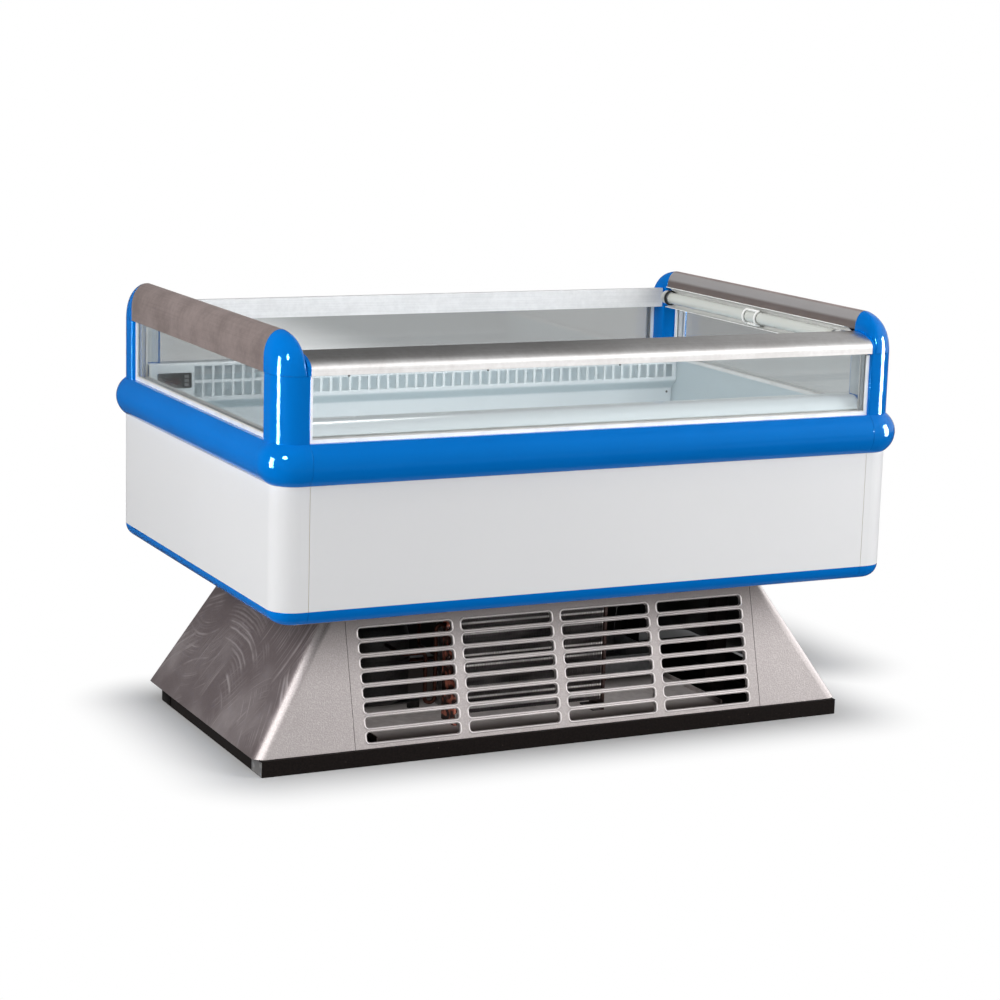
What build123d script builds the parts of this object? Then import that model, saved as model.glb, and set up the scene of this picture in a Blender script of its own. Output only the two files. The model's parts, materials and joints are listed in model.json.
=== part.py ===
from build123d import *
from math import asin, degrees, floor, sqrt
import os

os.makedirs("parts", exist_ok=True)

# Driving dimensions in millimetres. X runs along the long front, Y to the rear, Z up from the floor.

# Insulated tank
tank_length = 1350.0
tank_width = 930.0
corner_radius = 48.0
tank_bottom_z = 322.0
rim_z = 666.0
wall_thickness = 30.0
floor_thickness = 42.0
outer_sheet = 1.0
liner_sheet = 1.5
liner_corner_radius = 20.0
panel_seam_inset = 64.0
seam_gap = 1.0

# Bumper round the rim and quarter-round trim under the panels
bumper_height = 78.0
bumper_depth = 21.0
bumper_flange = 4.0
bumper_seam_inset = 62.0
bumper_joint = 0.5
trim_radius = 29.0
trim_joint = 0.6

# Double glazing and its white channels
glass_setback = 12.0
pane = 4.0
pane_gap = 10.0
glass_height = 142.0
spacer_width = 4.4
spacer_inset = 0.4
channel_base = 2.0
channel_leg = 3.0
channel_height = 7.0
pocket_clearance = 0.3
pocket_room = 2.0

# Corner posts with their elbow caps
post_width = 64.0
post_depth = 78.0
post_wall = 3.0
post_edge_radius = 4.0
post_height = 126.0
cap_joint = 0.5
cap_collar = 7.0

# Hand rails on top of the glass
rail_wall = 2.5
rail_lip = 3.0
end_rail_outer_run = 33.0
end_rail_outer_rise = 50.0
end_rail_inner_run = 22.0
end_rail_inner_rise = 37.0
end_rail_lip_drop = 27.0
long_rail_depth = 70.0
long_rail_rise = 27.0
long_rail_face = 12.0
long_rail_drop = 4.0

# Sloping pedestal shells and grilles
plinth_height = 32.0
foot_length = 1326.0
foot_front = 333.0
foot_rear = 315.0
crown_length = 955.0
crown_depth = 512.0
pedestal_bend = 26.0
pedestal_sheet = 1.5
grille_panel_width = 922.0
grille_shift = 7.5
slot_length = 201.0
slot_height = 20.0
slot_corner = 6.5
slot_flange = 7.0
slot_gap = 22.5
slot_pitch = 29.1
slot_margin_top = 62.0
slot_margin_front = 12.0
slot_margin_rear = 100.0
gland_from_seam = 50.0
gland_height = 40.0
gland_radius = 10.0
gland_length = 18.0
gland_inside = 12.0
gland_bore = 4.5
gland_nut = 14.0
gland_nut_thickness = 6.0
gland_dome = 4.0

# Welded plinth tubes and the frame that carries the tank
plinth_length = 1302.0
plinth_front = 342.0
plinth_rear = 249.0
plinth_tube = 56.0
plinth_wall = 2.5
frame_tube = 30.0
frame_wall = 2.0
frame_span_x = 860.0
frame_front = 210.0
frame_rear = 195.0

# Condensing unit in the pedestal
tray_end_gap = 7.0
tray_sheet = 2.0
tray_lap = 14.0
tray_rim = 10.0
condenser_left = 205.0
condenser_width = 345.0
condenser_height = 205.0
condenser_depth = 60.0
condenser_front = 250.0
condenser_lift = 24.0
end_plate = 3.0
fin_pitch = 6.0
fin_sheet = 2.0
fin_groove = 12.0
return_bend = 12.0
return_tube = 4.5
return_rows = 3
shroud_depth = 34.0
shroud_sheet = 1.5
fan_tip = 88.0
fan_tip_gap = 9.0
collar_length = 18.0
fan_hub = 27.0
fan_hub_length = 24.0
fan_blades = 5
fan_blade_sheet = 2.5
fan_blade_chord = 56.0
fan_blade_pitch = 30.0
blade_root_share = 0.7
blade_twist = 14.0
fan_shaft = 3.0
shaft_clearance = 0.05
motor_radius = 42.0
motor_length = 55.0
motor_edge = 4.0
motor_bore = 30.0
shaft_end_room = 4.0
motor_stand_off = 30.0
bracket_width = 26.0
bracket_sheet = 3.0
compressor_x = -300.0
compressor_y = -40.0
compressor_radius = 80.0
compressor_height = 178.0
compressor_dome = 46.0
compressor_foot = 3.0
compressor_heel = 18.0
weld_band = 2.0
weld_band_height = 8.0
terminal_box_depth = 44.0
terminal_box_width = 52.0
terminal_box_height = 60.0
mount_radius = 13.0
mount_height = 14.0
mount_span_x = 150.0
mount_span_y = 110.0
pipe_radius = 4.0
pipe_bend = 10.0
pipe_butt_gap = 0.2
pipe_riser_back = 15.0
pipe_loop_out = 45.0
pipe_loop_in = 23.0
pipe_loop_z = 75.0
discharge_z = 180.0
condenser_inlet_z = 235.0
liquid_z = 85.0
suction_z = 120.0
evaporator_inlet_z = 400.0
drier_x = 168.0
drier_radius = 10.0
drier_length = 100.0
drier_end_y = -40.0
drier_neck = 8.0
drip_pan_gap = 14.0
drip_pan_length = 200.0
drip_pan_width = 210.0
drip_pan_height = 50.0
drip_pan_wall = 2.0
drip_pan_corner = 12.0
drain_radius = 11.0
drain_wall = 2.0
drain_flange = 18.0
drain_flange_sheet = 2.0
hole_clearance = 1.0

# Air duct covers, deck and evaporator inside the well
duct_sheet = 2.0
duct_face = 370.0
duct_foot = 391.0
duct_top_z = 700.0
duct_step_top_z = 616.0
duct_step_bottom_z = 598.0
duct_nose_radius = 29.0
duct_lip_radius = 6.0
duct_step_radius = 14.0
duct_end_gap = 3.5
duct_flange = 14.0
duct_start_gap = 0.3
duct_start_lift = 2.0
duct_rib_pitch = 320.0
duct_rib_height = 40.0
air_slot_width = 16.6
air_slot_height = 29.7
air_slot_pitch = 22.65
air_row_pitch = 35.7
air_row_centre_z = 659.3
air_slot_margin = 9.0
deck_z = 492.0
deck_sheet = 1.5
deck_corner = 4.0
deck_count = 3
deck_gap = 1.0
baffle_y = 20.0
baffle_flange = 20.0
evaporator_length = 1040.0
evaporator_front = 120.0
evaporator_depth = 100.0
evaporator_height = 108.0
evaporator_lift = 8.0
small_fan_frame = 119.0
small_fan_depth = 38.0
small_fan_bore = 56.0
small_fan_tip = 53.0
small_fan_hub = 22.0
small_fan_strut = 8.0
small_fan_motor = 12.0
small_fan_spacing = 620.0
small_fan_shaft = 2.0
small_fan_lift = 2.0
rotor_gap = 0.4
small_blade_chord = 32.0

# Temperature controller in the rear duct cover
controller_from_end = 55.8
controller_slot_gap = 4.0
controller_z = 663.0
bezel_width = 76.0
bezel_height = 33.0
bezel_proud = 3.0
bezel_radius = 3.0
bezel_taper = 12.0
case_width = 70.0
case_height = 28.0
case_depth = 16.0
display_width = 34.0
display_height = 16.0
display_recess = 1.0
display_shift = 5.0
key_count = 3
key_width = 9.0
key_height = 6.0
key_pitch = 8.5
key_offset = 26.0
key_proud = 1.0
key_depth = 3.0
key_edge = 1.0
key_clearance = 0.15
key_travel_room = 1.2

# Lamp under the right-hand end rail
lamp_tube_radius = 13.0
lamp_tube_length = 700.0
lamp_centre_inset = 71.0
lamp_trough_radius = 22.0
lamp_trough_sheet = 1.5
lamp_trough_overhang = 18.0
lamp_rail_gap = 0.3
lamp_clip_width = 48.0
lamp_clip_sheet = 2.0
lamp_clip_stem = 10.0
lamp_clip_mouth = 14.0
lamp_pin_radius = 1.2
lamp_pin_spread = 6.35
lamp_pin_length = 7.0
lamp_cap_edge = 1.5
holder_thickness = 14.0
holder_pocket = 8.5
holder_radius = 15.0
holder_gap = 0.3
holder_reach = 19.8
holder_waist = 9.0

# Places worked out from the driving dimensions
half_x = tank_length / 2
half_y = tank_width / 2
panel_bottom_z = tank_bottom_z + trim_radius
panel_top_z = rim_z - bumper_flange
bumper_bottom_z = rim_z - bumper_height
liner_x = half_x - wall_thickness
liner_y = half_y - wall_thickness
liner_floor_z = tank_bottom_z + floor_thickness
rail_bottom_z = rim_z + post_height
rail_top_z = rail_bottom_z + post_depth
post_x = half_x - post_width
post_y = half_y - post_depth
glass_unit = 2 * pane + pane_gap
glass_back = glass_setback + glass_unit
glass_bottom_z = rim_z + channel_base
glass_top_z = glass_bottom_z + glass_height
pocket_top_z = glass_top_z + pocket_room
cap_width = post_width - cap_collar
tray_z = plinth_height + tray_sheet
deck_underside_z = deck_z - deck_sheet
duct_length = 2 * (liner_x - duct_end_gap)

# Each side's frame stands on the tank's face: first axis outward, second axis up, third axis along it
outward = {"front": (0, -1, 0), "rear": (0, 1, 0), "left": (-1, 0, 0), "right": (1, 0, 0)}
along = {"front": (-1, 0, 0), "rear": (1, 0, 0), "left": (0, 1, 0), "right": (0, -1, 0)}
face_point = {
    "front": (0, -half_y, 0),
    "rear": (0, half_y, 0),
    "left": (-half_x, 0, 0),
    "right": (half_x, 0, 0),
}
side_frame = {s: Plane(origin=face_point[s], x_dir=outward[s], z_dir=along[s]) for s in outward}
plan_frame = {s: Plane(origin=face_point[s], x_dir=along[s], z_dir=(0, 0, 1)) for s in outward}
glass_reach = {"front": post_x, "rear": post_x, "left": post_y, "right": post_y}
corners = {
    "front_left": (-1, -1),
    "front_right": (1, -1),
    "rear_left": (-1, 1),
    "rear_right": (1, 1),
}


def finish(piece, name):
    piece.part.label = name
    export_step(piece.part, f"parts/{name}.step")


def slab(frame, low, high, bottom, top):
    with BuildSketch(frame) as section:
        with Locations(((low + high) / 2, (bottom + top) / 2)):
            Rectangle(high - low, top - bottom)
    return section.sketch


# Tank skin: the end panels wrap round the corners and the long panels close the gap between them
with BuildPart() as end_panel:
    with BuildSketch(Plane.XY.offset(panel_bottom_z)):
        RectangleRounded(tank_length, tank_width, corner_radius)
        RectangleRounded(
            tank_length - 2 * outer_sheet, tank_width - 2 * outer_sheet, corner_radius - outer_sheet,
            mode=Mode.SUBTRACT,
        )
        with Locations((-half_x, 0)):
            Rectangle(2 * panel_seam_inset, tank_width, mode=Mode.INTERSECT)
    extrude(amount=panel_top_z - panel_bottom_z)
finish(end_panel, "left_end_panel")

with BuildPart() as right_end_panel:
    mirror(end_panel.part, about=Plane.YZ)
finish(right_end_panel, "right_end_panel")

for side in ("front", "rear"):
    with BuildPart() as long_panel:
        skin = slab(side_frame[side], -outer_sheet, 0, panel_bottom_z, panel_top_z)
        extrude(skin, amount=half_x - panel_seam_inset - seam_gap, both=True)
    finish(long_panel, f"{side}_panel")

# Holes through the tank floor for the drain and the two refrigerant pipes
service_y = (baffle_y + evaporator_front) / 2
liquid_hole_x = drier_x
suction_hole_x = compressor_x + 2 * compressor_radius
drip_pan_x = drier_x + drier_radius + drip_pan_gap + drip_pan_length / 2
floor_holes = {
    drip_pan_x: drain_radius + hole_clearance,
    liquid_hole_x: pipe_radius + hole_clearance,
    suction_hole_x: pipe_radius + hole_clearance,
}


def cut_floor_holes():
    for hole_x, radius in floor_holes.items():
        with Locations((hole_x, service_y, tank_bottom_z)):
            Cylinder(radius, 3 * floor_thickness, mode=Mode.SUBTRACT)


with BuildPart() as tank_underside:
    with BuildSketch(Plane.XY.offset(tank_bottom_z)):
        RectangleRounded(
            tank_length - 2 * trim_radius, tank_width - 2 * trim_radius, corner_radius - trim_radius
        )
    extrude(amount=outer_sheet)
    cut_floor_holes()
finish(tank_underside, "tank_underside")

with BuildPart() as liner_tub:
    with BuildSketch(Plane.XY.offset(liner_floor_z - liner_sheet)):
        RectangleRounded(
            2 * (liner_x + liner_sheet), 2 * (liner_y + liner_sheet), liner_corner_radius + liner_sheet
        )
    extrude(amount=rim_z - liner_floor_z + liner_sheet)
    with BuildSketch(Plane.XY.offset(liner_floor_z)):
        RectangleRounded(2 * liner_x, 2 * liner_y, liner_corner_radius)
    extrude(amount=rim_z - liner_floor_z, mode=Mode.SUBTRACT)
    cut_floor_holes()
finish(liner_tub, "liner_tub")

with BuildPart() as insulation_foam:
    with BuildSketch(Plane.XY.offset(panel_bottom_z)):
        RectangleRounded(
            tank_length - 2 * outer_sheet, tank_width - 2 * outer_sheet, corner_radius - outer_sheet
        )
    extrude(amount=panel_top_z - panel_bottom_z)
    with BuildSketch(Plane.XY.offset(tank_bottom_z + outer_sheet)):
        RectangleRounded(
            tank_length - 2 * trim_radius, tank_width - 2 * trim_radius, corner_radius - trim_radius
        )
    extrude(amount=trim_radius - outer_sheet)
    with BuildSketch(Plane.XY.offset(liner_floor_z - liner_sheet)):
        RectangleRounded(
            2 * (liner_x + liner_sheet), 2 * (liner_y + liner_sheet), liner_corner_radius + liner_sheet
        )
    extrude(amount=rim_z - liner_floor_z, mode=Mode.SUBTRACT)
    cut_floor_holes()
finish(insulation_foam, "insulation_foam")


# Bumper: a half-round nose with a flange that caps the foam between skin and liner
def bumper_section(frame):
    flange_reach = wall_thickness - liner_sheet
    with BuildSketch(frame) as section:
        with BuildLine():
            nose = ThreePointArc(
                (0, bumper_bottom_z), (bumper_depth, (bumper_bottom_z + rim_z) / 2), (0, rim_z)
            )
            Polyline(
                nose @ 1, (-flange_reach, rim_z), (-flange_reach, panel_top_z), (0, panel_top_z), nose @ 0
            )
        make_face()
    return section.sketch


def trim_section(frame):
    with BuildSketch(frame) as section:
        with BuildLine():
            bend = CenterArc((-trim_radius, panel_bottom_z), trim_radius, 270, 90)
            Polyline(bend @ 1, (-trim_radius, panel_bottom_z), bend @ 0)
        make_face()
    return section.sketch


def corner_path(inset):
    turn_x = half_x - corner_radius
    turn_y = half_y - corner_radius
    with BuildLine() as path:
        Line((half_x - inset, half_y), (turn_x, half_y))
        RadiusArc((turn_x, half_y), (half_x, turn_y), corner_radius)
        Line((half_x, turn_y), (half_x, half_y - inset))
    return path.wires()[0]


def corner_set(section, inset):
    seam_frame = Plane(origin=(half_x - inset, half_y, 0), x_dir=(0, 1, 0), z_dir=(1, 0, 0))
    sweep(section(seam_frame), path=corner_path(inset))
    mirror(about=Plane.YZ)
    mirror(about=Plane.XZ)


with BuildPart() as long_bumpers:
    for side in ("front", "rear"):
        extrude(bumper_section(side_frame[side]), amount=half_x - bumper_seam_inset - bumper_joint, both=True)
finish(long_bumpers, "long_bumpers")

with BuildPart() as end_bumpers:
    for side in ("left", "right"):
        extrude(bumper_section(side_frame[side]), amount=half_y - bumper_seam_inset - bumper_joint, both=True)
finish(end_bumpers, "end_bumpers")

with BuildPart() as bumper_corners:
    corner_set(bumper_section, bumper_seam_inset)
finish(bumper_corners, "bumper_corners")

with BuildPart() as lower_trim:
    corner_set(trim_section, panel_seam_inset)
    for side in ("front", "rear"):
        extrude(trim_section(side_frame[side]), amount=half_x - panel_seam_inset - trim_joint, both=True)
    for side in ("left", "right"):
        extrude(trim_section(side_frame[side]), amount=half_y - panel_seam_inset - trim_joint, both=True)
finish(lower_trim, "lower_trim")

# Corner posts: hollow, rounded like the tank's corners
for name, (sx, sy) in corners.items():
    with BuildPart() as post:
        with BuildSketch(Plane.XY.offset(rim_z)) as section:
            with Locations((sx * (half_x - post_width / 2), sy * (half_y - post_depth / 2))):
                Rectangle(post_width, post_depth)
            by_reach = section.vertices().sort_by_distance((sx * half_x, sy * half_y, 0))
            fillet(by_reach[1:], post_edge_radius)
            outer_corner = section.vertices().sort_by_distance((sx * half_x, sy * half_y, 0))[0]
            fillet(outer_corner, corner_radius)
            offset(amount=-post_wall, mode=Mode.SUBTRACT)
        extrude(amount=post_height - cap_joint)
    finish(post, f"{name}_post")


# Long rails: a low crown that rises from a short outer face to the inner edge
def long_rail_outline(frame, underside):
    face_top_z = rail_bottom_z + long_rail_face
    with BuildSketch(frame) as section:
        with BuildLine():
            crown = EllipticalCenterArc(
                (-long_rail_depth, face_top_z), long_rail_depth, long_rail_rise, start_angle=0, arc_size=90
            )
            Polyline(crown @ 1, *underside, crown @ 0)
        make_face()
    return section.sketch


rail_lip_back = glass_back + rail_lip
rail_underside = [
    (-long_rail_depth, rail_bottom_z - long_rail_drop),
    (-rail_lip_back, rail_bottom_z - long_rail_drop),
    (-rail_lip_back, rail_bottom_z),
    (0, rail_bottom_z),
]
collar_underside = [(-long_rail_depth, rail_bottom_z), (0, rail_bottom_z)]


def glass_pocket(frame):
    low = -glass_back - pocket_clearance
    high = -glass_setback + pocket_clearance
    return slab(frame, low, high, rail_bottom_z - long_rail_drop, pocket_top_z)


def long_rail_void(frame):
    high = -glass_back - rail_lip - rail_wall
    crown_share = (long_rail_depth + high) / long_rail_depth
    crown_z = rail_bottom_z + long_rail_face + long_rail_rise * sqrt(1 - crown_share**2)
    bottom = rail_bottom_z - long_rail_drop + rail_wall
    return slab(frame, -long_rail_depth + rail_wall, high, bottom, crown_z - rail_wall)


for side in ("front", "rear"):
    with BuildPart() as long_rail:
        extrude(long_rail_outline(side_frame[side], rail_underside), amount=post_x, both=True)
        extrude(glass_pocket(side_frame[side]), amount=post_x, both=True, mode=Mode.SUBTRACT)
        extrude(long_rail_void(side_frame[side]), amount=post_x, both=True, mode=Mode.SUBTRACT)
    finish(long_rail, f"{side}_rail")


# End rails: a tall bullet-shaped crown, open below its inner half for the lamp
def end_rail_section(frame):
    outer_base_z = rail_top_z - end_rail_outer_rise
    inner_base_z = rail_top_z - end_rail_inner_rise
    lip_back = glass_back + pocket_clearance + rail_lip
    lip_z = inner_base_z - end_rail_lip_drop
    with BuildSketch(frame) as section:
        with BuildLine():
            outer = EllipticalCenterArc(
                (-end_rail_outer_run, outer_base_z), end_rail_outer_run, end_rail_outer_rise,
                start_angle=0, arc_size=90,
            )
            inner = EllipticalCenterArc(
                (-cap_width + end_rail_inner_run, inner_base_z), end_rail_inner_run, end_rail_inner_rise,
                start_angle=90, arc_size=90,
            )
            Line(outer @ 1, inner @ 0)
            Polyline(
                inner @ 1,
                (-lip_back, inner_base_z),
                (-lip_back, lip_z),
                (-lip_back + rail_lip, lip_z),
                (-lip_back + rail_lip, pocket_top_z),
                (-glass_setback + pocket_clearance, pocket_top_z),
                (-glass_setback + pocket_clearance, rail_bottom_z),
                (0, rail_bottom_z),
                outer @ 0,
            )
        make_face()
    return section.sketch


def end_rail_void(frame):
    outer_base_z = rail_top_z - end_rail_outer_rise
    inner_base_z = rail_top_z - end_rail_inner_rise
    outer_rise = end_rail_outer_rise - rail_wall
    inner_rise = end_rail_inner_rise - rail_wall
    outer_start = degrees(asin((inner_base_z + rail_wall - outer_base_z) / outer_rise))
    inner_end = 180 - degrees(asin(rail_wall / inner_rise))
    with BuildSketch(frame) as section:
        with BuildLine():
            outer = EllipticalCenterArc(
                (-end_rail_outer_run, outer_base_z), end_rail_outer_run - rail_wall, outer_rise,
                start_angle=outer_start, arc_size=90 - outer_start,
            )
            inner = EllipticalCenterArc(
                (-cap_width + end_rail_inner_run, inner_base_z), end_rail_inner_run - rail_wall, inner_rise,
                start_angle=90, arc_size=inner_end - 90,
            )
            Line(outer @ 1, inner @ 0)
            Line(inner @ 1, outer @ 0)
        make_face()
    return section.sketch


for side in ("left", "right"):
    with BuildPart() as end_rail:
        extrude(end_rail_section(side_frame[side]), amount=post_y, both=True)
        extrude(end_rail_void(side_frame[side]), amount=post_y, both=True, mode=Mode.SUBTRACT)
    finish(end_rail, f"{side}_rail")


# Post caps: each turns the post's square section into the end rail's crown round a quarter turn
def cap_section(turn):
    level = Plane(origin=(half_x, post_y, rail_bottom_z), x_dir=(1, 0, 0), z_dir=(0, 0, 1))
    lift = level.rotated((turn, 0, 0))
    share = turn / 90
    outer_run = corner_radius + share * (end_rail_outer_run - corner_radius)
    outer_rise = corner_radius + share * (end_rail_outer_rise - corner_radius)
    inner_run = post_edge_radius + share * (end_rail_inner_run - post_edge_radius)
    inner_rise = post_edge_radius + share * (end_rail_inner_rise - post_edge_radius)
    with BuildSketch(lift) as section:
        with BuildLine():
            outer = EllipticalCenterArc(
                (-outer_run, post_depth - outer_rise), outer_run, outer_rise, start_angle=0, arc_size=90
            )
            inner = EllipticalCenterArc(
                (-cap_width + inner_run, post_depth - inner_rise), inner_run, inner_rise,
                start_angle=90, arc_size=90,
            )
            Line(outer @ 1, inner @ 0)
            Polyline(inner @ 1, (-cap_width, 0), (0, 0), outer @ 0)
        make_face()
    return section.sketch


with BuildPart() as post_caps:
    loft(sections=[cap_section(turn) for turn in (0, 45, 90)])
    collar_frame = Plane(origin=(post_x, half_y, 0), x_dir=(0, 1, 0), z_dir=(1, 0, 0))
    extrude(long_rail_outline(collar_frame, collar_underside), amount=cap_collar)
    mirror(about=Plane.YZ)
    mirror(about=Plane.XZ)
finish(post_caps, "post_caps")

# Glass units of two panes, with their spacer bars and white edge channels
for side in outward:
    reach = glass_reach[side] - channel_base
    with BuildPart() as glass:
        for front in (glass_setback, glass_setback + pane + pane_gap):
            sheet = slab(side_frame[side], -front - pane, -front, glass_bottom_z, glass_top_z)
            extrude(sheet, amount=reach, both=True)
    finish(glass, f"{side}_glass")

with BuildPart() as glass_spacers:
    for side in outward:
        outer_reach = glass_reach[side] - channel_base - spacer_inset
        low_z = glass_bottom_z + spacer_inset
        high_z = glass_top_z - spacer_inset
        near = -glass_setback - pane
        bar = slab(side_frame[side], near - pane_gap, near, low_z, high_z)
        extrude(bar, amount=outer_reach, both=True)
        opening = slab(
            side_frame[side], near - pane_gap, near, low_z + spacer_width, high_z - spacer_width
        )
        extrude(opening, amount=outer_reach - spacer_width, both=True, mode=Mode.SUBTRACT)
finish(glass_spacers, "glass_spacers")

with BuildPart() as glazing_channels:
    for side in outward:
        outer_n = -glass_setback + channel_leg
        inner_n = -glass_back - channel_leg
        top_z = rim_z + channel_height
        extrude(slab(side_frame[side], inner_n, outer_n, rim_z, top_z), amount=glass_reach[side], both=True)
        groove = slab(side_frame[side], -glass_back, -glass_setback, glass_bottom_z, top_z)
        extrude(groove, amount=glass_reach[side], both=True, mode=Mode.SUBTRACT)
        upright_z = rail_bottom_z - (long_rail_drop if side in ("front", "rear") else 0)
        for end in (-1, 1):
            inner_edge = end * (glass_reach[side] - channel_height)
            outer_edge = end * glass_reach[side]
            base_edge = end * (glass_reach[side] - channel_base)
            upright_frame = plan_frame[side].offset(top_z)
            upright = slab(
                upright_frame, min(inner_edge, outer_edge), max(inner_edge, outer_edge), inner_n, outer_n
            )
            extrude(upright, amount=upright_z - top_z)
            groove = slab(
                upright_frame, min(inner_edge, base_edge), max(inner_edge, base_edge),
                -glass_back, -glass_setback,
            )
            extrude(groove, amount=upright_z - top_z, mode=Mode.SUBTRACT)
finish(glazing_channels, "glazing_channels")

# Pedestal: one folded frustum of sheet, split at the grille seams into four pieces
foot_middle_y = (foot_rear - foot_front) / 2


def pedestal_ring(height, length, depth, middle_y, inset):
    with BuildSketch(Plane.XY.offset(height)) as ring:
        with Locations((0, middle_y)):
            RectangleRounded(length - 2 * inset, depth - 2 * inset, pedestal_bend - inset)
    return ring.sketch


def pedestal_block(inset, mode):
    foot = pedestal_ring(plinth_height, foot_length, foot_front + foot_rear, foot_middle_y, inset)
    crown = pedestal_ring(tank_bottom_z, crown_length, crown_depth, 0, inset)
    loft(sections=[foot, crown], ruled=True, mode=mode)


with BuildPart() as pedestal:
    pedestal_block(0, Mode.ADD)
    pedestal_block(pedestal_sheet, Mode.SUBTRACT)

pedestal_height = tank_bottom_z - plinth_height
left_seam_x = grille_shift - grille_panel_width / 2
right_seam_x = grille_shift + grille_panel_width / 2
window_depth = 2 * (foot_front + foot_rear)


def keep_between(low_x, high_x, low_y, high_y):
    with Locations(((low_x + high_x) / 2, (low_y + high_y) / 2, plinth_height)):
        Box(high_x - low_x, high_y - low_y, pedestal_height,
            align=(Align.CENTER, Align.CENTER, Align.MIN), mode=Mode.INTERSECT)


# Grille slots: rounded rectangles, each with a flange pressed inward round its edge
def slot_grid(face_plane, slope_length, bottom_margin, spread):
    usable_width = grille_panel_width - slot_gap
    columns = floor(usable_width / (slot_length + slot_gap))
    usable_rise = slope_length - slot_margin_top - bottom_margin
    rows = floor((usable_rise - slot_height) / slot_pitch) + 1
    row_centre = bottom_margin + slot_height / 2 + (rows - 1) * slot_pitch / 2
    with BuildSketch(face_plane) as slots:
        with Locations((0, row_centre)):
            with GridLocations(slot_length + slot_gap, slot_pitch, columns, rows):
                RectangleRounded(slot_length + 2 * spread, slot_height + 2 * spread, slot_corner + spread)
    return slots.sketch


def grille_slots(face_plane, slope_length, bottom_margin):
    flanges = slot_grid(face_plane, slope_length, bottom_margin, pedestal_sheet)
    extrude(flanges, amount=-slot_flange)
    openings = slot_grid(face_plane, slope_length, bottom_margin, 0)
    extrude(openings, amount=2 * slot_flange, both=True, mode=Mode.SUBTRACT)


front_lean = (foot_front - crown_depth / 2) / pedestal_height
rear_lean = (foot_rear - crown_depth / 2) / pedestal_height
front_foot = (grille_shift, -foot_front, plinth_height)
rear_foot = (grille_shift, foot_rear, plinth_height)
front_face = Plane(origin=front_foot, x_dir=(1, 0, 0), z_dir=(0, -1, front_lean))
rear_face = Plane(origin=rear_foot, x_dir=(-1, 0, 0), z_dir=(0, 1, rear_lean))

with BuildPart() as base_left_shell:
    add(pedestal.part)
    keep_between(-foot_length, left_seam_x - seam_gap, -window_depth / 2, window_depth / 2)
finish(base_left_shell, "base_left_shell")

gland_plane = Plane(
    origin=rear_face.from_local_coords((-grille_panel_width / 2 - gland_from_seam, gland_height, 0)),
    x_dir=(-1, 0, 0),
    z_dir=(0, 1, rear_lean),
)
with BuildPart() as base_right_shell:
    add(pedestal.part)
    keep_between(right_seam_x + seam_gap, foot_length, -window_depth / 2, window_depth / 2)
    with BuildSketch(gland_plane) as gland_hole:
        Circle(gland_radius)
    extrude(gland_hole.sketch, amount=4 * pedestal_sheet, both=True, mode=Mode.SUBTRACT)
finish(base_right_shell, "base_right_shell")

with BuildPart() as front_grille_panel:
    add(pedestal.part)
    keep_between(left_seam_x, right_seam_x, -window_depth / 2, 0)
    grille_slots(front_face, pedestal_height * sqrt(1 + front_lean**2), slot_margin_front)
finish(front_grille_panel, "front_grille_panel")

with BuildPart() as rear_grille_panel:
    add(pedestal.part)
    keep_between(left_seam_x, right_seam_x, 0, window_depth / 2)
    grille_slots(rear_face, pedestal_height * sqrt(1 + rear_lean**2), slot_margin_rear)
finish(rear_grille_panel, "rear_grille_panel")


# Plinth of welded box tube
def box_tube(length_x, length_y, height, wall, lengthwise):
    Box(length_x, length_y, height, align=(Align.CENTER, Align.CENTER, Align.MIN))
    if lengthwise == "x":
        bore = (length_x, length_y - 2 * wall, height - 2 * wall)
    elif lengthwise == "y":
        bore = (length_x - 2 * wall, length_y, height - 2 * wall)
    else:
        bore = (length_x - 2 * wall, length_y - 2 * wall, height)
    return bore


def tube_at(x, y, z, size, wall, lengthwise):
    with Locations((x, y, z)):
        bore = box_tube(*size, wall, lengthwise)
    lift = z if lengthwise == "z" else z + wall
    with Locations((x, y, lift)):
        Box(*bore, align=(Align.CENTER, Align.CENTER, Align.MIN), mode=Mode.SUBTRACT)


cross_length = plinth_front + plinth_rear - 2 * plinth_tube
cross_y = (plinth_rear - plinth_front) / 2
with BuildPart() as plinth_long_tubes:
    for tube_y in (-plinth_front + plinth_tube / 2, plinth_rear - plinth_tube / 2):
        tube_at(0, tube_y, 0, (plinth_length, plinth_tube, plinth_height), plinth_wall, "x")
finish(plinth_long_tubes, "plinth_long_tubes")

with BuildPart() as plinth_cross_tubes:
    end_x = (plinth_length - plinth_tube) / 2
    for tube_x in (-end_x, -frame_span_x / 2, frame_span_x / 2, end_x):
        tube_at(tube_x, cross_y, 0, (plinth_tube, cross_length, plinth_height), plinth_wall, "y")
finish(plinth_cross_tubes, "plinth_cross_tubes")

upright_height = pedestal_height - frame_tube
with BuildPart() as tank_support_frame:
    for frame_x in (-frame_span_x / 2, frame_span_x / 2):
        for frame_y in (-frame_front, frame_rear - frame_tube):
            upright_y = max(frame_y, cross_y - cross_length / 2 + frame_tube / 2)
            upright_y = min(upright_y, cross_y + cross_length / 2 - frame_tube / 2)
            upright = (frame_tube, frame_tube, upright_height)
            tube_at(frame_x, upright_y, plinth_height, upright, frame_wall, "z")
        bar_y = (frame_rear - frame_front) / 2
        bar_length = frame_front + frame_rear + frame_tube
        tube_at(
            frame_x, bar_y, tank_bottom_z - frame_tube, (frame_tube, bar_length, frame_tube), frame_wall, "y"
        )
finish(tank_support_frame, "tank_support_frame")

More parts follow.
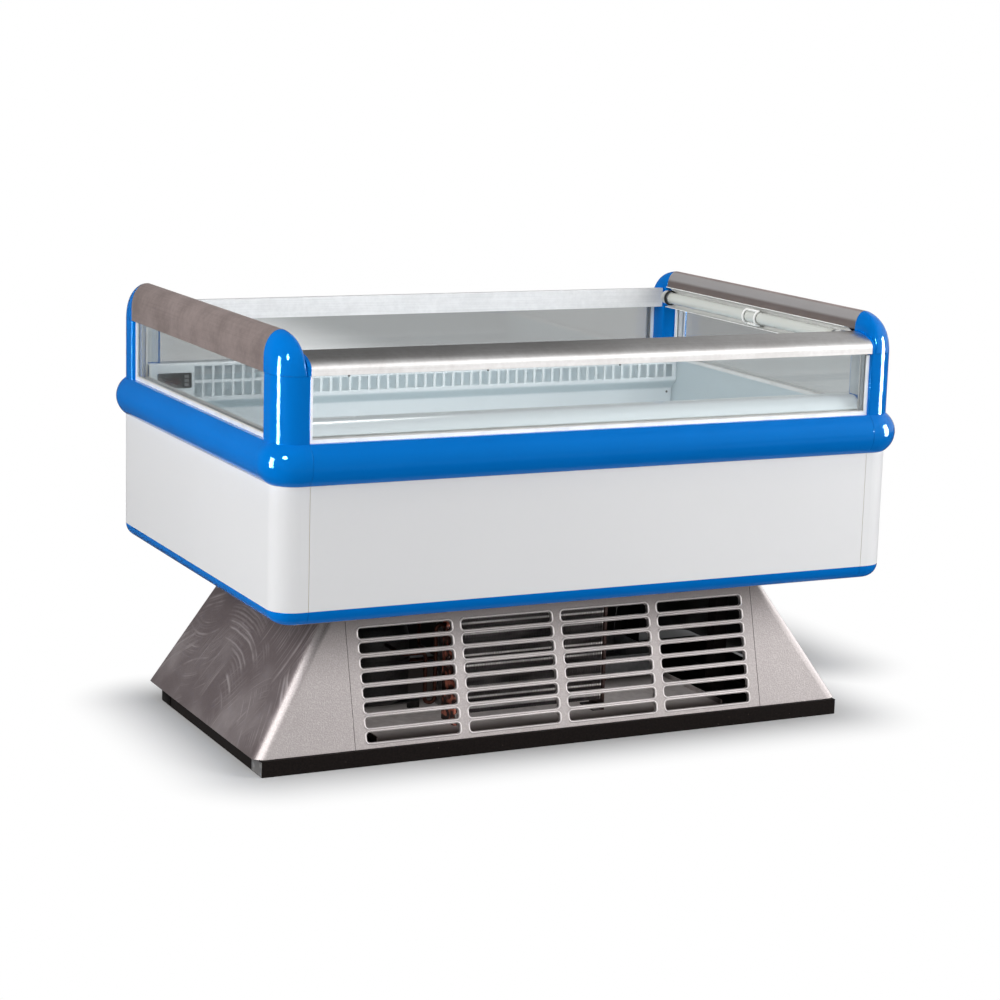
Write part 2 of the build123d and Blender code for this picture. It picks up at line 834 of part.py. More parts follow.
# Cable gland on the right-hand shell's rear wing
with BuildPart() as mains_gland:
    with BuildSketch(gland_plane) as shank:
        Circle(gland_radius)
    extrude(shank.sketch, amount=-gland_inside)
    extrude(shank.sketch, amount=gland_length)
    with BuildSketch(gland_plane) as nut:
        RegularPolygon(gland_nut, 6)
    extrude(nut.sketch, amount=gland_nut_thickness)
    with BuildSketch(gland_plane.offset(-pedestal_sheet)) as lock_nut:
        RegularPolygon(gland_nut, 6)
    extrude(lock_nut.sketch, amount=-gland_nut_thickness)
    with BuildSketch(gland_plane) as wall_gap:
        Circle(2 * gland_nut)
        Circle(gland_radius, mode=Mode.SUBTRACT)
    extrude(wall_gap.sketch, amount=-pedestal_sheet, mode=Mode.SUBTRACT)
    ahead_of_gland = gland_plane.from_local_coords((0, 0, 2 * gland_length))
    mouth = mains_gland.faces().sort_by_distance(ahead_of_gland)[0]
    fillet(mouth.edges(), gland_dome)
    with BuildSketch(gland_plane.offset(-gland_inside)) as bore:
        Circle(gland_bore)
    extrude(bore.sketch, amount=gland_inside + 2 * gland_length, mode=Mode.SUBTRACT)
finish(mains_gland, "mains_gland")

# Machine tray between the plinth tubes
tray_front = -plinth_front + plinth_tube - tray_lap
tray_rear = plinth_rear - plinth_tube + tray_lap
tray_y = (tray_front + tray_rear) / 2
tray_length = frame_span_x - plinth_tube - 2 * tray_end_gap
with BuildPart() as machine_tray:
    with Locations((0, tray_y, plinth_height)):
        Box(tray_length, tray_rear - tray_front, tray_sheet + tray_rim,
            align=(Align.CENTER, Align.CENTER, Align.MIN))
    with Locations((0, tray_y, tray_z)):
        Box(tray_length - 2 * tray_sheet, tray_rear - tray_front, tray_rim,
            align=(Align.CENTER, Align.CENTER, Align.MIN), mode=Mode.SUBTRACT)
finish(machine_tray, "machine_tray")

# Condenser: fin pack between two end plates that stand on the tray, with return bends outside them
condenser_x = condenser_width / 2 - condenser_left
condenser_y = condenser_depth / 2 - condenser_front
fin_bottom_z = tray_z + condenser_lift
fan_z = fin_bottom_z + condenser_height / 2
shroud_front = condenser_depth - condenser_front
shroud_rear = shroud_front + shroud_depth


def return_bends(end_x, middle_y, first_z, pitch, count, direction):
    for row in range(count):
        bend_frame = Plane(
            origin=(end_x, middle_y, first_z + row * pitch), x_dir=(0, 0, -direction), z_dir=(0, -1, 0)
        )
        with Locations(bend_frame):
            Torus(return_bend, return_tube, major_angle=180)


def cut_fins(middle_x, front_y, middle_z, width, height):
    count = floor((width - 2 * end_plate) / fin_pitch)
    with BuildSketch(Plane.XZ.offset(-front_y)) as grooves:
        with Locations((middle_x, middle_z)):
            with GridLocations(fin_pitch, 1, count, 1):
                Rectangle(fin_pitch - fin_sheet, height)
    extrude(grooves.sketch, amount=-fin_groove, mode=Mode.SUBTRACT)


with BuildPart() as condenser_coil:
    with Locations((condenser_x, condenser_y, fin_bottom_z)):
        Box(condenser_width, condenser_depth, condenser_height, align=(Align.CENTER, Align.CENTER, Align.MIN))
    cut_fins(condenser_x, -condenser_front, fan_z, condenser_width, condenser_height)
    for end in (-1, 1):
        plate_x = condenser_x + end * (condenser_width - end_plate) / 2
        with Locations((plate_x, condenser_y, tray_z)):
            Box(end_plate, condenser_depth, condenser_lift + condenser_height,
                align=(Align.CENTER, Align.CENTER, Align.MIN))
        with Locations((plate_x - end * condenser_lift / 2, condenser_y, tray_z)):
            Box(condenser_lift, condenser_depth, end_plate, align=(Align.CENTER, Align.CENTER, Align.MIN))
        bend_pitch = condenser_height / return_rows
        first_bend_z = fin_bottom_z + bend_pitch / 2
        bend_x = condenser_x + end * condenser_width / 2
        return_bends(bend_x, condenser_y, first_bend_z, bend_pitch, return_rows, end)
finish(condenser_coil, "condenser_coil")

# Fan shroud behind the condenser, with the strap that carries the motor
fan_hole = fan_tip + fan_tip_gap
strap_y = shroud_rear + motor_stand_off
strap_reach = fan_hole + 2 * shroud_sheet + 2 * bracket_sheet
with BuildPart() as condenser_shroud:
    with Locations((condenser_x, shroud_front, fan_z)):
        Box(condenser_width, shroud_depth, condenser_height, align=(Align.CENTER, Align.MIN, Align.CENTER))
        Box(condenser_width - 2 * shroud_sheet, shroud_depth - shroud_sheet,
            condenser_height - 2 * shroud_sheet,
            align=(Align.CENTER, Align.MIN, Align.CENTER), mode=Mode.SUBTRACT)
    with BuildSketch(Plane.XZ.offset(-shroud_rear + shroud_sheet)) as collar:
        with Locations((condenser_x, fan_z)):
            Circle(fan_hole + shroud_sheet)
    extrude(collar.sketch, amount=-collar_length)
    with BuildSketch(Plane.XZ.offset(-shroud_front)) as throat:
        with Locations((condenser_x, fan_z)):
            Circle(fan_hole)
    extrude(throat.sketch, amount=-2 * shroud_depth, mode=Mode.SUBTRACT)
    for end in (-1, 1):
        with Locations((condenser_x + end * strap_reach, shroud_rear, fan_z)):
            Box(bracket_sheet, motor_stand_off, bracket_width, align=(Align.CENTER, Align.MIN, Align.CENTER))
    with Locations((condenser_x, strap_y, fan_z)):
        Box(2 * strap_reach + bracket_sheet, bracket_sheet, bracket_width,
            align=(Align.CENTER, Align.MAX, Align.CENTER))
    with BuildSketch(Plane.XZ.offset(-strap_y)) as shaft_hole:
        with Locations((condenser_x, fan_z)):
            Circle(3 * fan_shaft)
    extrude(shaft_hole.sketch, amount=bracket_sheet, mode=Mode.SUBTRACT)
finish(condenser_shroud, "condenser_shroud")


def axial_cylinder(centre_x, start_y, centre_z, radius, length, mode=Mode.ADD):
    with BuildSketch(Plane.XZ.offset(-start_y)) as disc:
        with Locations((centre_x, centre_z)):
            Circle(radius)
    extrude(disc.sketch, amount=-length, mode=mode)


with BuildPart() as condenser_fan_motor:
    axial_cylinder(condenser_x, strap_y, fan_z, motor_radius, motor_length)
    fillet(condenser_fan_motor.edges().filter_by(GeomType.CIRCLE), motor_edge)
    axial_cylinder(condenser_x, strap_y, fan_z, fan_shaft + shaft_clearance, motor_bore, Mode.SUBTRACT)
finish(condenser_fan_motor, "condenser_fan_motor")


# Axial fans: straight twisted blades lofted from hub to tip, patterned about the shaft
def fan_blade(centre_x, centre_y, centre_z, root, tip, chord, pitch, sheet):
    sections = []
    for reach, width, lean in ((root, chord * blade_root_share, pitch + blade_twist), (tip, chord, pitch)):
        frame = Plane(origin=(centre_x, centre_y, centre_z + reach)).rotated((0, 0, lean))
        with BuildSketch(frame) as section:
            Rectangle(width, sheet)
        sections.append(section.sketch)
    return sections


def blade_set(centre_x, centre_y, centre_z, hub, tip, chord, pitch, sheet, count):
    with BuildPart() as blade:
        sections = fan_blade(centre_x, centre_y, centre_z, hub - sheet, tip, chord, pitch, sheet)
        loft(sections=sections, ruled=True)
    spin = Axis((centre_x, centre_y, centre_z), (0, 1, 0))
    return [blade.part.rotate(spin, turn * 360 / count) for turn in range(count)]


fan_middle_y = shroud_rear - shroud_sheet
condenser_blades = blade_set(
    condenser_x, fan_middle_y, fan_z, fan_hub, fan_tip,
    fan_blade_chord, fan_blade_pitch, fan_blade_sheet, fan_blades,
)
with BuildPart() as condenser_fan:
    axial_cylinder(condenser_x, fan_middle_y - fan_hub_length / 2, fan_z, fan_hub, fan_hub_length)
    axial_cylinder(
        condenser_x, fan_middle_y, fan_z, fan_shaft, strap_y + motor_bore - shaft_end_room - fan_middle_y
    )
    for blade in condenser_blades:
        add(blade)
finish(condenser_fan, "condenser_fan")

# Hermetic compressor on four rubber mounts
compressor_z = tray_z + mount_height
with BuildPart() as compressor:
    with Locations((compressor_x, compressor_y, compressor_z)):
        Cylinder(compressor_radius, compressor_height, align=(Align.CENTER, Align.CENTER, Align.MIN))
    top_edge = compressor.edges().sort_by(Axis.Z)[-1]
    fillet(top_edge, compressor_dome)
    fillet(compressor.edges().sort_by(Axis.Z)[0], compressor_heel)
    with Locations((compressor_x, compressor_y, compressor_z + compressor_height / 2)):
        Cylinder(compressor_radius + weld_band, weld_band_height)
    with BuildSketch(Plane.XY.offset(compressor_z)) as foot:
        with Locations((compressor_x, compressor_y)):
            RectangleRounded(mount_span_x + 2 * mount_radius, mount_span_y + 2 * mount_radius, mount_radius)
    extrude(foot.sketch, amount=compressor_foot)
    with Locations((compressor_x - compressor_radius, compressor_y, compressor_z + compressor_height / 3)):
        Box(terminal_box_depth, terminal_box_width, terminal_box_height)
finish(compressor, "compressor")

with BuildPart() as compressor_mounts:
    with Locations((compressor_x, compressor_y, tray_z)):
        with GridLocations(mount_span_x, mount_span_y, 2, 2):
            Cylinder(mount_radius, mount_height, align=(Align.CENTER, Align.CENTER, Align.MIN))
finish(compressor_mounts, "compressor_mounts")

# Refrigerant pipes bent from straight runs, and the filter drier in the liquid line
riser_y = shroud_front - pipe_riser_back
drier_start_y = drier_end_y - drier_length
evaporator_tail_y = evaporator_front - pipe_butt_gap
discharge_run = [
    (compressor_x, compressor_y - compressor_radius - weld_band - pipe_butt_gap, discharge_z),
    (compressor_x, riser_y, discharge_z),
    (-condenser_left - pipe_loop_out, riser_y, discharge_z),
    (-condenser_left - pipe_loop_out, riser_y, pipe_loop_z),
    (-condenser_left - pipe_loop_in, riser_y, pipe_loop_z),
    (-condenser_left - pipe_loop_in, riser_y, condenser_inlet_z),
    (-condenser_left - pipe_butt_gap, riser_y, condenser_inlet_z),
]
condenser_outlet_x = condenser_width - condenser_left + pipe_butt_gap
liquid_run = [
    (condenser_outlet_x, riser_y, liquid_z),
    (drier_x, riser_y, liquid_z),
    (drier_x, drier_start_y - pipe_butt_gap, liquid_z),
]
expansion_run = [
    (drier_x, drier_end_y + pipe_butt_gap, liquid_z),
    (drier_x, service_y, liquid_z),
    (drier_x, service_y, evaporator_inlet_z),
    (drier_x, evaporator_tail_y, evaporator_inlet_z),
]
suction_run = [
    (suction_hole_x, evaporator_tail_y, evaporator_inlet_z),
    (suction_hole_x, service_y, evaporator_inlet_z),
    (suction_hole_x, service_y, suction_z),
    (suction_hole_x, compressor_y, suction_z),
    (compressor_x + compressor_radius + weld_band + pipe_butt_gap, compressor_y, suction_z),
]
with BuildPart() as refrigerant_pipes:
    for run in (discharge_run, liquid_run, expansion_run, suction_run):
        with BuildLine() as path:
            FilletPolyline(*run, radius=pipe_bend)
        start = Plane(origin=path.wires()[0] @ 0, z_dir=path.wires()[0] % 0)
        with BuildSketch(start) as bore:
            Circle(pipe_radius)
        sweep(bore.sketch, path=path.wires()[0])
finish(refrigerant_pipes, "refrigerant_pipes")

with BuildPart() as filter_drier:
    axial_cylinder(drier_x, drier_start_y, liquid_z, drier_radius, drier_length)
    chamfer(filter_drier.edges().filter_by(GeomType.CIRCLE), drier_neck, drier_neck / 2)
finish(filter_drier, "filter_drier")

# Drip pan and the drain that falls into it
with BuildPart() as drip_pan:
    with Locations((drip_pan_x, service_y, tray_z)):
        Box(drip_pan_length, drip_pan_width, drip_pan_height, align=(Align.CENTER, Align.CENTER, Align.MIN))
    fillet(drip_pan.edges().filter_by(Axis.Z), drip_pan_corner)
    offset(amount=-drip_pan_wall, openings=drip_pan.faces().sort_by(Axis.Z)[-1])
finish(drip_pan, "drip_pan")

drain_tail_z = tray_z + drip_pan_height / 2
with BuildPart() as drain_pipe:
    with Locations((drip_pan_x, service_y, drain_tail_z)):
        Cylinder(drain_radius, liner_floor_z - drain_tail_z + drain_flange_sheet,
                 align=(Align.CENTER, Align.CENTER, Align.MIN))
    with Locations((drip_pan_x, service_y, liner_floor_z)):
        Cylinder(drain_flange, drain_flange_sheet, align=(Align.CENTER, Align.CENTER, Align.MIN))
    with Locations((drip_pan_x, service_y, drain_tail_z)):
        Cylinder(drain_radius - drain_wall, tank_bottom_z, align=(Align.CENTER, Align.CENTER, Align.MIN),
                 mode=Mode.SUBTRACT)
finish(drain_pipe, "drain_pipe")

# Air duct covers: folded sheet with two rows of slots, stood off the liner by ribs
duct_start_y = half_y - glass_back - channel_leg - duct_start_gap


def duct_section():
    with BuildSketch(Plane.YZ) as section:
        with BuildLine() as fold:
            FilletPolyline(
                (duct_start_y, rim_z + duct_start_lift),
                (duct_start_y, duct_top_z),
                (duct_face, duct_top_z),
                (duct_face, duct_step_top_z),
                (duct_foot, duct_step_bottom_z),
                (duct_foot, deck_underside_z),
                (duct_foot - duct_flange, deck_underside_z),
                radius=[
                    duct_nose_radius, duct_lip_radius, duct_step_radius, duct_step_radius, duct_lip_radius / 2
                ],
            )
            offset(amount=duct_sheet, side=Side.LEFT)
        make_face()
    return section.sketch


def air_slots(low_x, high_x):
    spare = air_slot_pitch - air_slot_width
    count = floor((high_x - low_x + spare) / air_slot_pitch)
    with BuildSketch(Plane.XZ.offset(-duct_face)) as slots:
        with Locations(((low_x + high_x) / 2, air_row_centre_z)):
            with GridLocations(air_slot_pitch, air_row_pitch, count, 2):
                Rectangle(air_slot_width, air_slot_height)
    extrude(slots.sketch, amount=2 * duct_sheet, both=True, mode=Mode.SUBTRACT)


def clear_posts():
    with Locations((0, (post_y - duct_start_gap + half_y) / 2, rim_z)):
        with GridLocations(2 * half_x, 1, 2, 1):
            Box(2 * (post_width + duct_start_gap), post_depth + duct_start_gap,
                2 * channel_height + post_depth, mode=Mode.SUBTRACT)


def duct_ribs():
    reach = liner_y - duct_start_gap - duct_foot - duct_sheet / 2
    count = floor(duct_length / duct_rib_pitch) + 1
    with Locations((0, duct_foot + duct_sheet / 2, deck_z)):
        with GridLocations((duct_length - 2 * duct_rib_pitch / 3) / (count - 1), 1, count, 1):
            Box(duct_sheet, reach, duct_rib_height, align=(Align.CENTER, Align.MIN, Align.MIN))


controller_x = -duct_length / 2 + controller_from_end
case_hole_x = case_width + 2 * key_clearance
case_hole_z = case_height + 2 * key_clearance
with BuildPart() as rear_duct_cover:
    extrude(duct_section(), amount=duct_length / 2, both=True)
    duct_ribs()
    clear_posts()
    air_slots(controller_x + bezel_width / 2 + controller_slot_gap, duct_length / 2 - air_slot_margin)
    with Locations((controller_x, duct_face, controller_z)):
        Box(case_hole_x, 4 * duct_sheet, case_hole_z, mode=Mode.SUBTRACT)
finish(rear_duct_cover, "rear_duct_cover")

with BuildPart() as front_duct_blank:
    extrude(duct_section(), amount=duct_length / 2, both=True)
    duct_ribs()
    clear_posts()
    air_slots(-duct_length / 2 + air_slot_margin, duct_length / 2 - air_slot_margin)

with BuildPart() as front_duct_cover:
    mirror(front_duct_blank.part, about=Plane.XZ)
finish(front_duct_cover, "front_duct_cover")

# Controller with its three keys
key_column_x = controller_x + key_offset
bezel_front_y = duct_face - bezel_proud
key_names = ("up", "set", "down")
with BuildPart() as controller_case:
    with BuildSketch(Plane.XZ.offset(-duct_face)) as bezel:
        with Locations((controller_x, controller_z)):
            RectangleRounded(bezel_width, bezel_height, bezel_radius)
    extrude(bezel.sketch, amount=bezel_proud, taper=bezel_taper)
    with Locations((controller_x, duct_face, controller_z)):
        Box(case_width, case_depth, case_height, align=(Align.CENTER, Align.MIN, Align.CENTER))
    with Locations((controller_x - display_shift, bezel_front_y, controller_z)):
        Box(display_width, 2 * display_recess, display_height, mode=Mode.SUBTRACT)
    for row in range(key_count):
        key_z = controller_z + key_pitch * ((key_count - 1) / 2 - row)
        with Locations((key_column_x, bezel_front_y, key_z)):
            Box(key_width + 2 * key_clearance, key_depth + key_travel_room, key_height + 2 * key_clearance,
                align=(Align.CENTER, Align.MIN, Align.CENTER), mode=Mode.SUBTRACT)
finish(controller_case, "controller_case")

for row, key_name in enumerate(key_names):
    key_z = controller_z + key_pitch * ((key_count - 1) / 2 - row)
    with BuildPart() as key:
        with Locations((key_column_x, bezel_front_y - key_proud, key_z)):
            Box(key_width, key_depth + key_proud, key_height, align=(Align.CENTER, Align.MIN, Align.CENTER))
        fillet(key.edges().filter_by(Axis.Y), key_edge)
        fillet(key.faces().sort_by(Axis.Y)[0].edges(), key_edge / 2)
    finish(key, f"controller_{key_name}_key")

# Deck plates that hide the evaporator
deck_length = (duct_length - (deck_count - 1) * deck_gap) / deck_count
deck_width = 2 * (duct_foot - duct_lip_radius / 2 - deck_gap)
with BuildPart() as deck_plates:
    with BuildSketch(Plane.XY.offset(deck_underside_z)) as plates:
        with GridLocations(deck_length + deck_gap, 1, deck_count, 1):
            RectangleRounded(deck_length, deck_width, deck_corner)
    extrude(plates.sketch, amount=deck_sheet)
finish(deck_plates, "deck_plates")

# Evaporator and its fans under the deck
evaporator_y = evaporator_front + evaporator_depth / 2
with BuildPart() as evaporator_coil:
    with Locations((0, evaporator_y, liner_floor_z + evaporator_lift)):
        Box(evaporator_length, evaporator_depth, evaporator_height,
            align=(Align.CENTER, Align.CENTER, Align.MIN))
    evaporator_middle_z = liner_floor_z + evaporator_lift + evaporator_height / 2
    cut_fins(0, evaporator_front, evaporator_middle_z, evaporator_length, evaporator_height)
    for end in (-1, 1):
        with Locations((end * (evaporator_length + end_plate) / 2, evaporator_y, liner_floor_z)):
            Box(end_plate, evaporator_depth, evaporator_lift + evaporator_height,
                align=(Align.CENTER, Align.CENTER, Align.MIN))
finish(evaporator_coil, "evaporator_coil")

small_fan_z = liner_floor_z + small_fan_lift + small_fan_frame / 2
small_fan_xs = (-small_fan_spacing / 2, small_fan_spacing / 2)
with BuildPart() as fan_baffle:
    with Locations((0, baffle_y, liner_floor_z)):
        Box(duct_length, deck_sheet, deck_underside_z - liner_floor_z,
            align=(Align.CENTER, Align.MIN, Align.MIN))
        Box(duct_length, baffle_flange, deck_sheet, align=(Align.CENTER, Align.MIN, Align.MIN))
    with Locations((0, baffle_y, deck_underside_z)):
        Box(duct_length, baffle_flange, deck_sheet, align=(Align.CENTER, Align.MIN, Align.MAX))
    for fan_x in small_fan_xs:
        axial_cylinder(fan_x, baffle_y, small_fan_z, small_fan_bore, deck_sheet, Mode.SUBTRACT)
finish(fan_baffle, "fan_baffle")

small_fan_front = baffle_y - small_fan_depth
strut_length = small_fan_bore + small_fan_frame / 2
with BuildPart() as evaporator_fan_frames:
    for fan_x in small_fan_xs:
        with Locations((fan_x, small_fan_front, small_fan_z)):
            Box(small_fan_frame, small_fan_depth, small_fan_frame,
                align=(Align.CENTER, Align.MIN, Align.CENTER))
        axial_cylinder(fan_x, small_fan_front, small_fan_z, small_fan_bore, small_fan_depth, Mode.SUBTRACT)
        with Locations((fan_x, small_fan_front, small_fan_z)):
            Box(strut_length, small_fan_strut / 2, small_fan_strut,
                align=(Align.CENTER, Align.MIN, Align.CENTER))
            Box(small_fan_strut, small_fan_strut / 2, strut_length,
                align=(Align.CENTER, Align.MIN, Align.CENTER))
        axial_cylinder(fan_x, small_fan_front, small_fan_z, small_fan_hub, small_fan_motor)
        shaft_bore = small_fan_shaft + shaft_clearance
        axial_cylinder(fan_x, small_fan_front, small_fan_z, shaft_bore, small_fan_motor, Mode.SUBTRACT)
finish(evaporator_fan_frames, "evaporator_fan_frames")

rotor_start = small_fan_front + small_fan_motor + rotor_gap
rotor_length = small_fan_depth - small_fan_motor - 2 * rotor_gap
for fan_side, fan_x in zip(("left", "right"), small_fan_xs):
    small_blades = blade_set(
        fan_x, rotor_start + rotor_length / 2, small_fan_z, small_fan_hub, small_fan_tip, small_blade_chord,
        fan_blade_pitch, fan_blade_sheet, fan_blades,
    )
    with BuildPart() as rotor:
        axial_cylinder(fan_x, rotor_start, small_fan_z, small_fan_hub, rotor_length)
        shaft_length = rotor_gap + small_fan_motor - shaft_end_room
        axial_cylinder(fan_x, rotor_start - shaft_length, small_fan_z, small_fan_shaft, shaft_length)
        for blade in small_blades:
            add(blade)
    finish(rotor, f"evaporator_fan_{fan_side}")

# Lamp below the right-hand rail: trough with its tube clip, two lampholders and the tube
lamp_x = half_x - lamp_centre_inset
trough_outer = lamp_trough_radius + lamp_trough_sheet
rail_inner_x = half_x - cap_width
lamp_drop = sqrt((trough_outer + lamp_rail_gap) ** 2 - (rail_inner_x - lamp_x) ** 2)
lamp_z = rail_top_z - end_rail_inner_rise - lamp_drop
lamp_half = lamp_tube_length / 2
web_x = half_x - glass_back - pocket_clearance - rail_lip - lamp_rail_gap
clip_radius = lamp_tube_radius + shaft_clearance


def lamp_plane(y):
    return Plane(origin=(lamp_x, y, lamp_z), x_dir=(1, 0, 0), z_dir=(0, -1, 0))


with BuildPart() as lamp_trough:
    with BuildSketch(lamp_plane(0)) as trough:
        Circle(trough_outer)
        Circle(lamp_trough_radius, mode=Mode.SUBTRACT)
        with Locations((trough_outer / 2, 0)):
            Rectangle(trough_outer, 2 * trough_outer, mode=Mode.INTERSECT)
        with Locations(((lamp_trough_radius + web_x - lamp_x) / 2, 0)):
            Rectangle(web_x - lamp_x - lamp_trough_radius, lamp_trough_sheet)
    extrude(trough.sketch, amount=lamp_half + lamp_trough_overhang, both=True)
    with BuildSketch(lamp_plane(0)) as clip:
        Circle(clip_radius + lamp_clip_sheet)
        with Locations(((clip_radius + lamp_trough_radius) / 2, 0)):
            Rectangle(lamp_trough_radius - clip_radius + lamp_trough_sheet, lamp_clip_stem)
        Circle(clip_radius, mode=Mode.SUBTRACT)
        with Locations((0, clip_radius)):
            Rectangle(lamp_clip_mouth, 2 * clip_radius, mode=Mode.SUBTRACT)
    extrude(clip.sketch, amount=lamp_clip_width / 2, both=True)
finish(lamp_trough, "lamp_trough")

with BuildPart() as lampholders:
    for end in (-1, 1):
        holder_plane = lamp_plane(end * (lamp_half + holder_gap))
        with BuildSketch(holder_plane) as body:
            Circle(holder_radius)
            with Locations((holder_reach / 2, 0)):
                Rectangle(holder_reach, 2 * holder_waist)
        extrude(body.sketch, amount=-end * holder_thickness)
        with BuildSketch(holder_plane) as pocket:
            Circle(holder_pocket)
        extrude(pocket.sketch, amount=-end * (lamp_pin_length + 2 * holder_gap), mode=Mode.SUBTRACT)
finish(lampholders, "lampholders")

with BuildPart() as lamp_tube:
    with BuildSketch(lamp_plane(0)) as barrel:
        Circle(lamp_tube_radius)
    extrude(barrel.sketch, amount=lamp_half, both=True)
    fillet(lamp_tube.edges().filter_by(GeomType.CIRCLE), lamp_cap_edge)
    for end in (-1, 1):
        with BuildSketch(lamp_plane(end * (lamp_half - lamp_pin_length))) as pins:
            with GridLocations(2 * lamp_pin_spread, 1, 2, 1):
                Circle(lamp_pin_radius)
        extrude(pins.sketch, amount=-end * 2 * lamp_pin_length)
finish(lamp_tube, "lamp_tube")
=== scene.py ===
import bmesh
import bpy
import json
import math
from mathutils import Matrix, Vector


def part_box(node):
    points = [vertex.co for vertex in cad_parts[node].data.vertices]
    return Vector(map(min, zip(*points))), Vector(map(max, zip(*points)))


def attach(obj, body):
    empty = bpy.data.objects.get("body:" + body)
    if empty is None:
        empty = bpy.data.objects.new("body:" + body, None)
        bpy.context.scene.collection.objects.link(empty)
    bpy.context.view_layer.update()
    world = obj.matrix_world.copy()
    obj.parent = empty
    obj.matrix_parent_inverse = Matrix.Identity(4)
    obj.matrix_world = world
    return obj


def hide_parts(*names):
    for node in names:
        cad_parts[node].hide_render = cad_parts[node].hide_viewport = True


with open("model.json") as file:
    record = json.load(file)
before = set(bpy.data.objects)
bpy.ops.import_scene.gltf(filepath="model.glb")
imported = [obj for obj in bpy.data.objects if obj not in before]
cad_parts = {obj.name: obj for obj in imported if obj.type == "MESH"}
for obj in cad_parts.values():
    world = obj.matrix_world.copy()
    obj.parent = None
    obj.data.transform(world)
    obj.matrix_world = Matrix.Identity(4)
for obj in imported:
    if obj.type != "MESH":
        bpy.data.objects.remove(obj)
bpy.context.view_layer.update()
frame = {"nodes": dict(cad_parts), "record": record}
nodes = frame["nodes"]
print("frame loaded with", len(nodes), "nodes")


# Shader maths: one socket, written in plain arithmetic
class Shade:
    def __init__(self, tree, socket=None):
        self.tree = tree
        self.socket = socket

    def node(self, kind, settings=None, sockets=None, output=0):
        made = self.tree.nodes.new(kind)
        for name, value in (settings or {}).items():
            setattr(made, name, value)
        for name, value in (sockets or {}).items():
            socket = made.inputs[name]
            if isinstance(value, Shade):
                self.tree.links.new(value.socket, socket)
            elif socket.type == "RGBA":
                socket.default_value = (*value, 1.0)
            else:
                socket.default_value = value
        return Shade(self.tree, made.outputs[output] if made.outputs else None)

    def maths(self, operation, first, second):
        return self.node("ShaderNodeMath", {"operation": operation}, {0: first, 1: second})

    def __add__(self, other):
        return self.maths("ADD", self, other)

    def __radd__(self, other):
        return self.maths("ADD", other, self)

    def __sub__(self, other):
        return self.maths("SUBTRACT", self, other)

    def __rsub__(self, other):
        return self.maths("SUBTRACT", other, self)

    def __mul__(self, other):
        return self.maths("MULTIPLY", self, other)

    def __rmul__(self, other):
        return self.maths("MULTIPLY", other, self)

    def __neg__(self):
        return 0.0 - self

    def __abs__(self):
        return self.maths("ABSOLUTE", self, 0.0)

    def most(self, other):
        return self.maths("MAXIMUM", self, other)

    def least(self, other):
        return self.maths("MINIMUM", self, other)

    def between(self, low, high):  # 0 at low, 1 at high, smooth in between
        return self.node(
            "ShaderNodeMapRange",
            {"interpolation_type": "SMOOTHSTEP"},
            {"Value": self, "From Min": low, "From Max": high},
        )

    def colours(self, share, first, second):
        return self.node("ShaderNodeMix", {"data_type": "RGBA"}, {0: share, 6: first, 7: second}, 2)

    def vectors(self, operation, sockets, output="Value"):
        return self.node("ShaderNodeVectorMath", {"operation": operation}, sockets, output)

    def along(self, axis):  # one part of a vector
        return self.node("ShaderNodeSeparateXYZ", {}, {"Vector": self}, axis)

    def place(self, scale=(1, 1, 1)):
        spot = self.node("ShaderNodeTexCoord", {}, {}, "Object")
        return self.node("ShaderNodeMapping", {}, {"Vector": spot, "Scale": scale})

    def facing(self):
        return self.node("ShaderNodeNewGeometry", {}, {}, "True Normal")

    def ray(self, kind):
        return self.node("ShaderNodeLightPath", {}, {}, kind)

    def grain(self, scale, detail=3.0, stretch=(1, 1, 1), rough=0.5):
        spot = self.place(stretch)
        sockets = {"Vector": spot, "Scale": scale, "Detail": detail, "Roughness": rough}
        return self.node("ShaderNodeTexNoise", {}, sockets)

    def cells(self, scale, feature):
        sockets = {"Vector": self.place(), "Scale": scale}
        return self.node("ShaderNodeTexVoronoi", {"feature": feature}, sockets)

    def relief(self, height, distance, edge=0.0):  # bump over edges softened by a radius
        sockets = {"Height": height, "Distance": distance, "Strength": 1.0}
        if edge:
            sockets["Normal"] = self.node("ShaderNodeBevel", {"samples": 4}, {"Radius": edge})
        return self.node("ShaderNodeBump", {}, sockets)

    def surface(self, shader):
        self.node("ShaderNodeOutputMaterial", {}, {"Surface": shader})

    def principled(self, sockets):
        self.surface(self.node("ShaderNodeBsdfPrincipled", {}, sockets))


def startFinish(name):
    material = bpy.data.materials.new(name)
    material.use_nodes = True
    material.node_tree.nodes.clear()
    return material, Shade(material.node_tree)


# Finishes
panelPaint = {
    "light": (0.84, 0.842, 0.85),
    "dark": (0.80, 0.803, 0.815),
    "mottle": 2.5,
    "rough": 0.24,
    "peel": 650,
    "peelDepth": 0.00003,
    "edge": 0.0006,  # radius of the softened edges
}


def makePanelPaint():
    material, paint = startFinish("white_powder_coat")
    mottle = paint.grain(panelPaint["mottle"])
    peel = paint.grain(panelPaint["peel"], 2.0)
    paint.principled({
        "Base Color": paint.colours(mottle, panelPaint["dark"], panelPaint["light"]),
        "Roughness": mottle * 0.1 + panelPaint["rough"],
        "Normal": paint.relief(peel, panelPaint["peelDepth"], panelPaint["edge"]),
    })
    return material


bluePlastic = {
    "light": (0.0004, 0.158, 0.560),
    "dark": (0.0003, 0.142, 0.505),
    "gloss": (0.10, 0.50, 1.0),
    "specular": 0.22,
    "rough": 0.05,
    "scuffs": (0.56, 0.75),  # where in the grain they start and are full
    "peel": 420,
    "peelDepth": 0.00003,
    "edge": 0.0009,
}


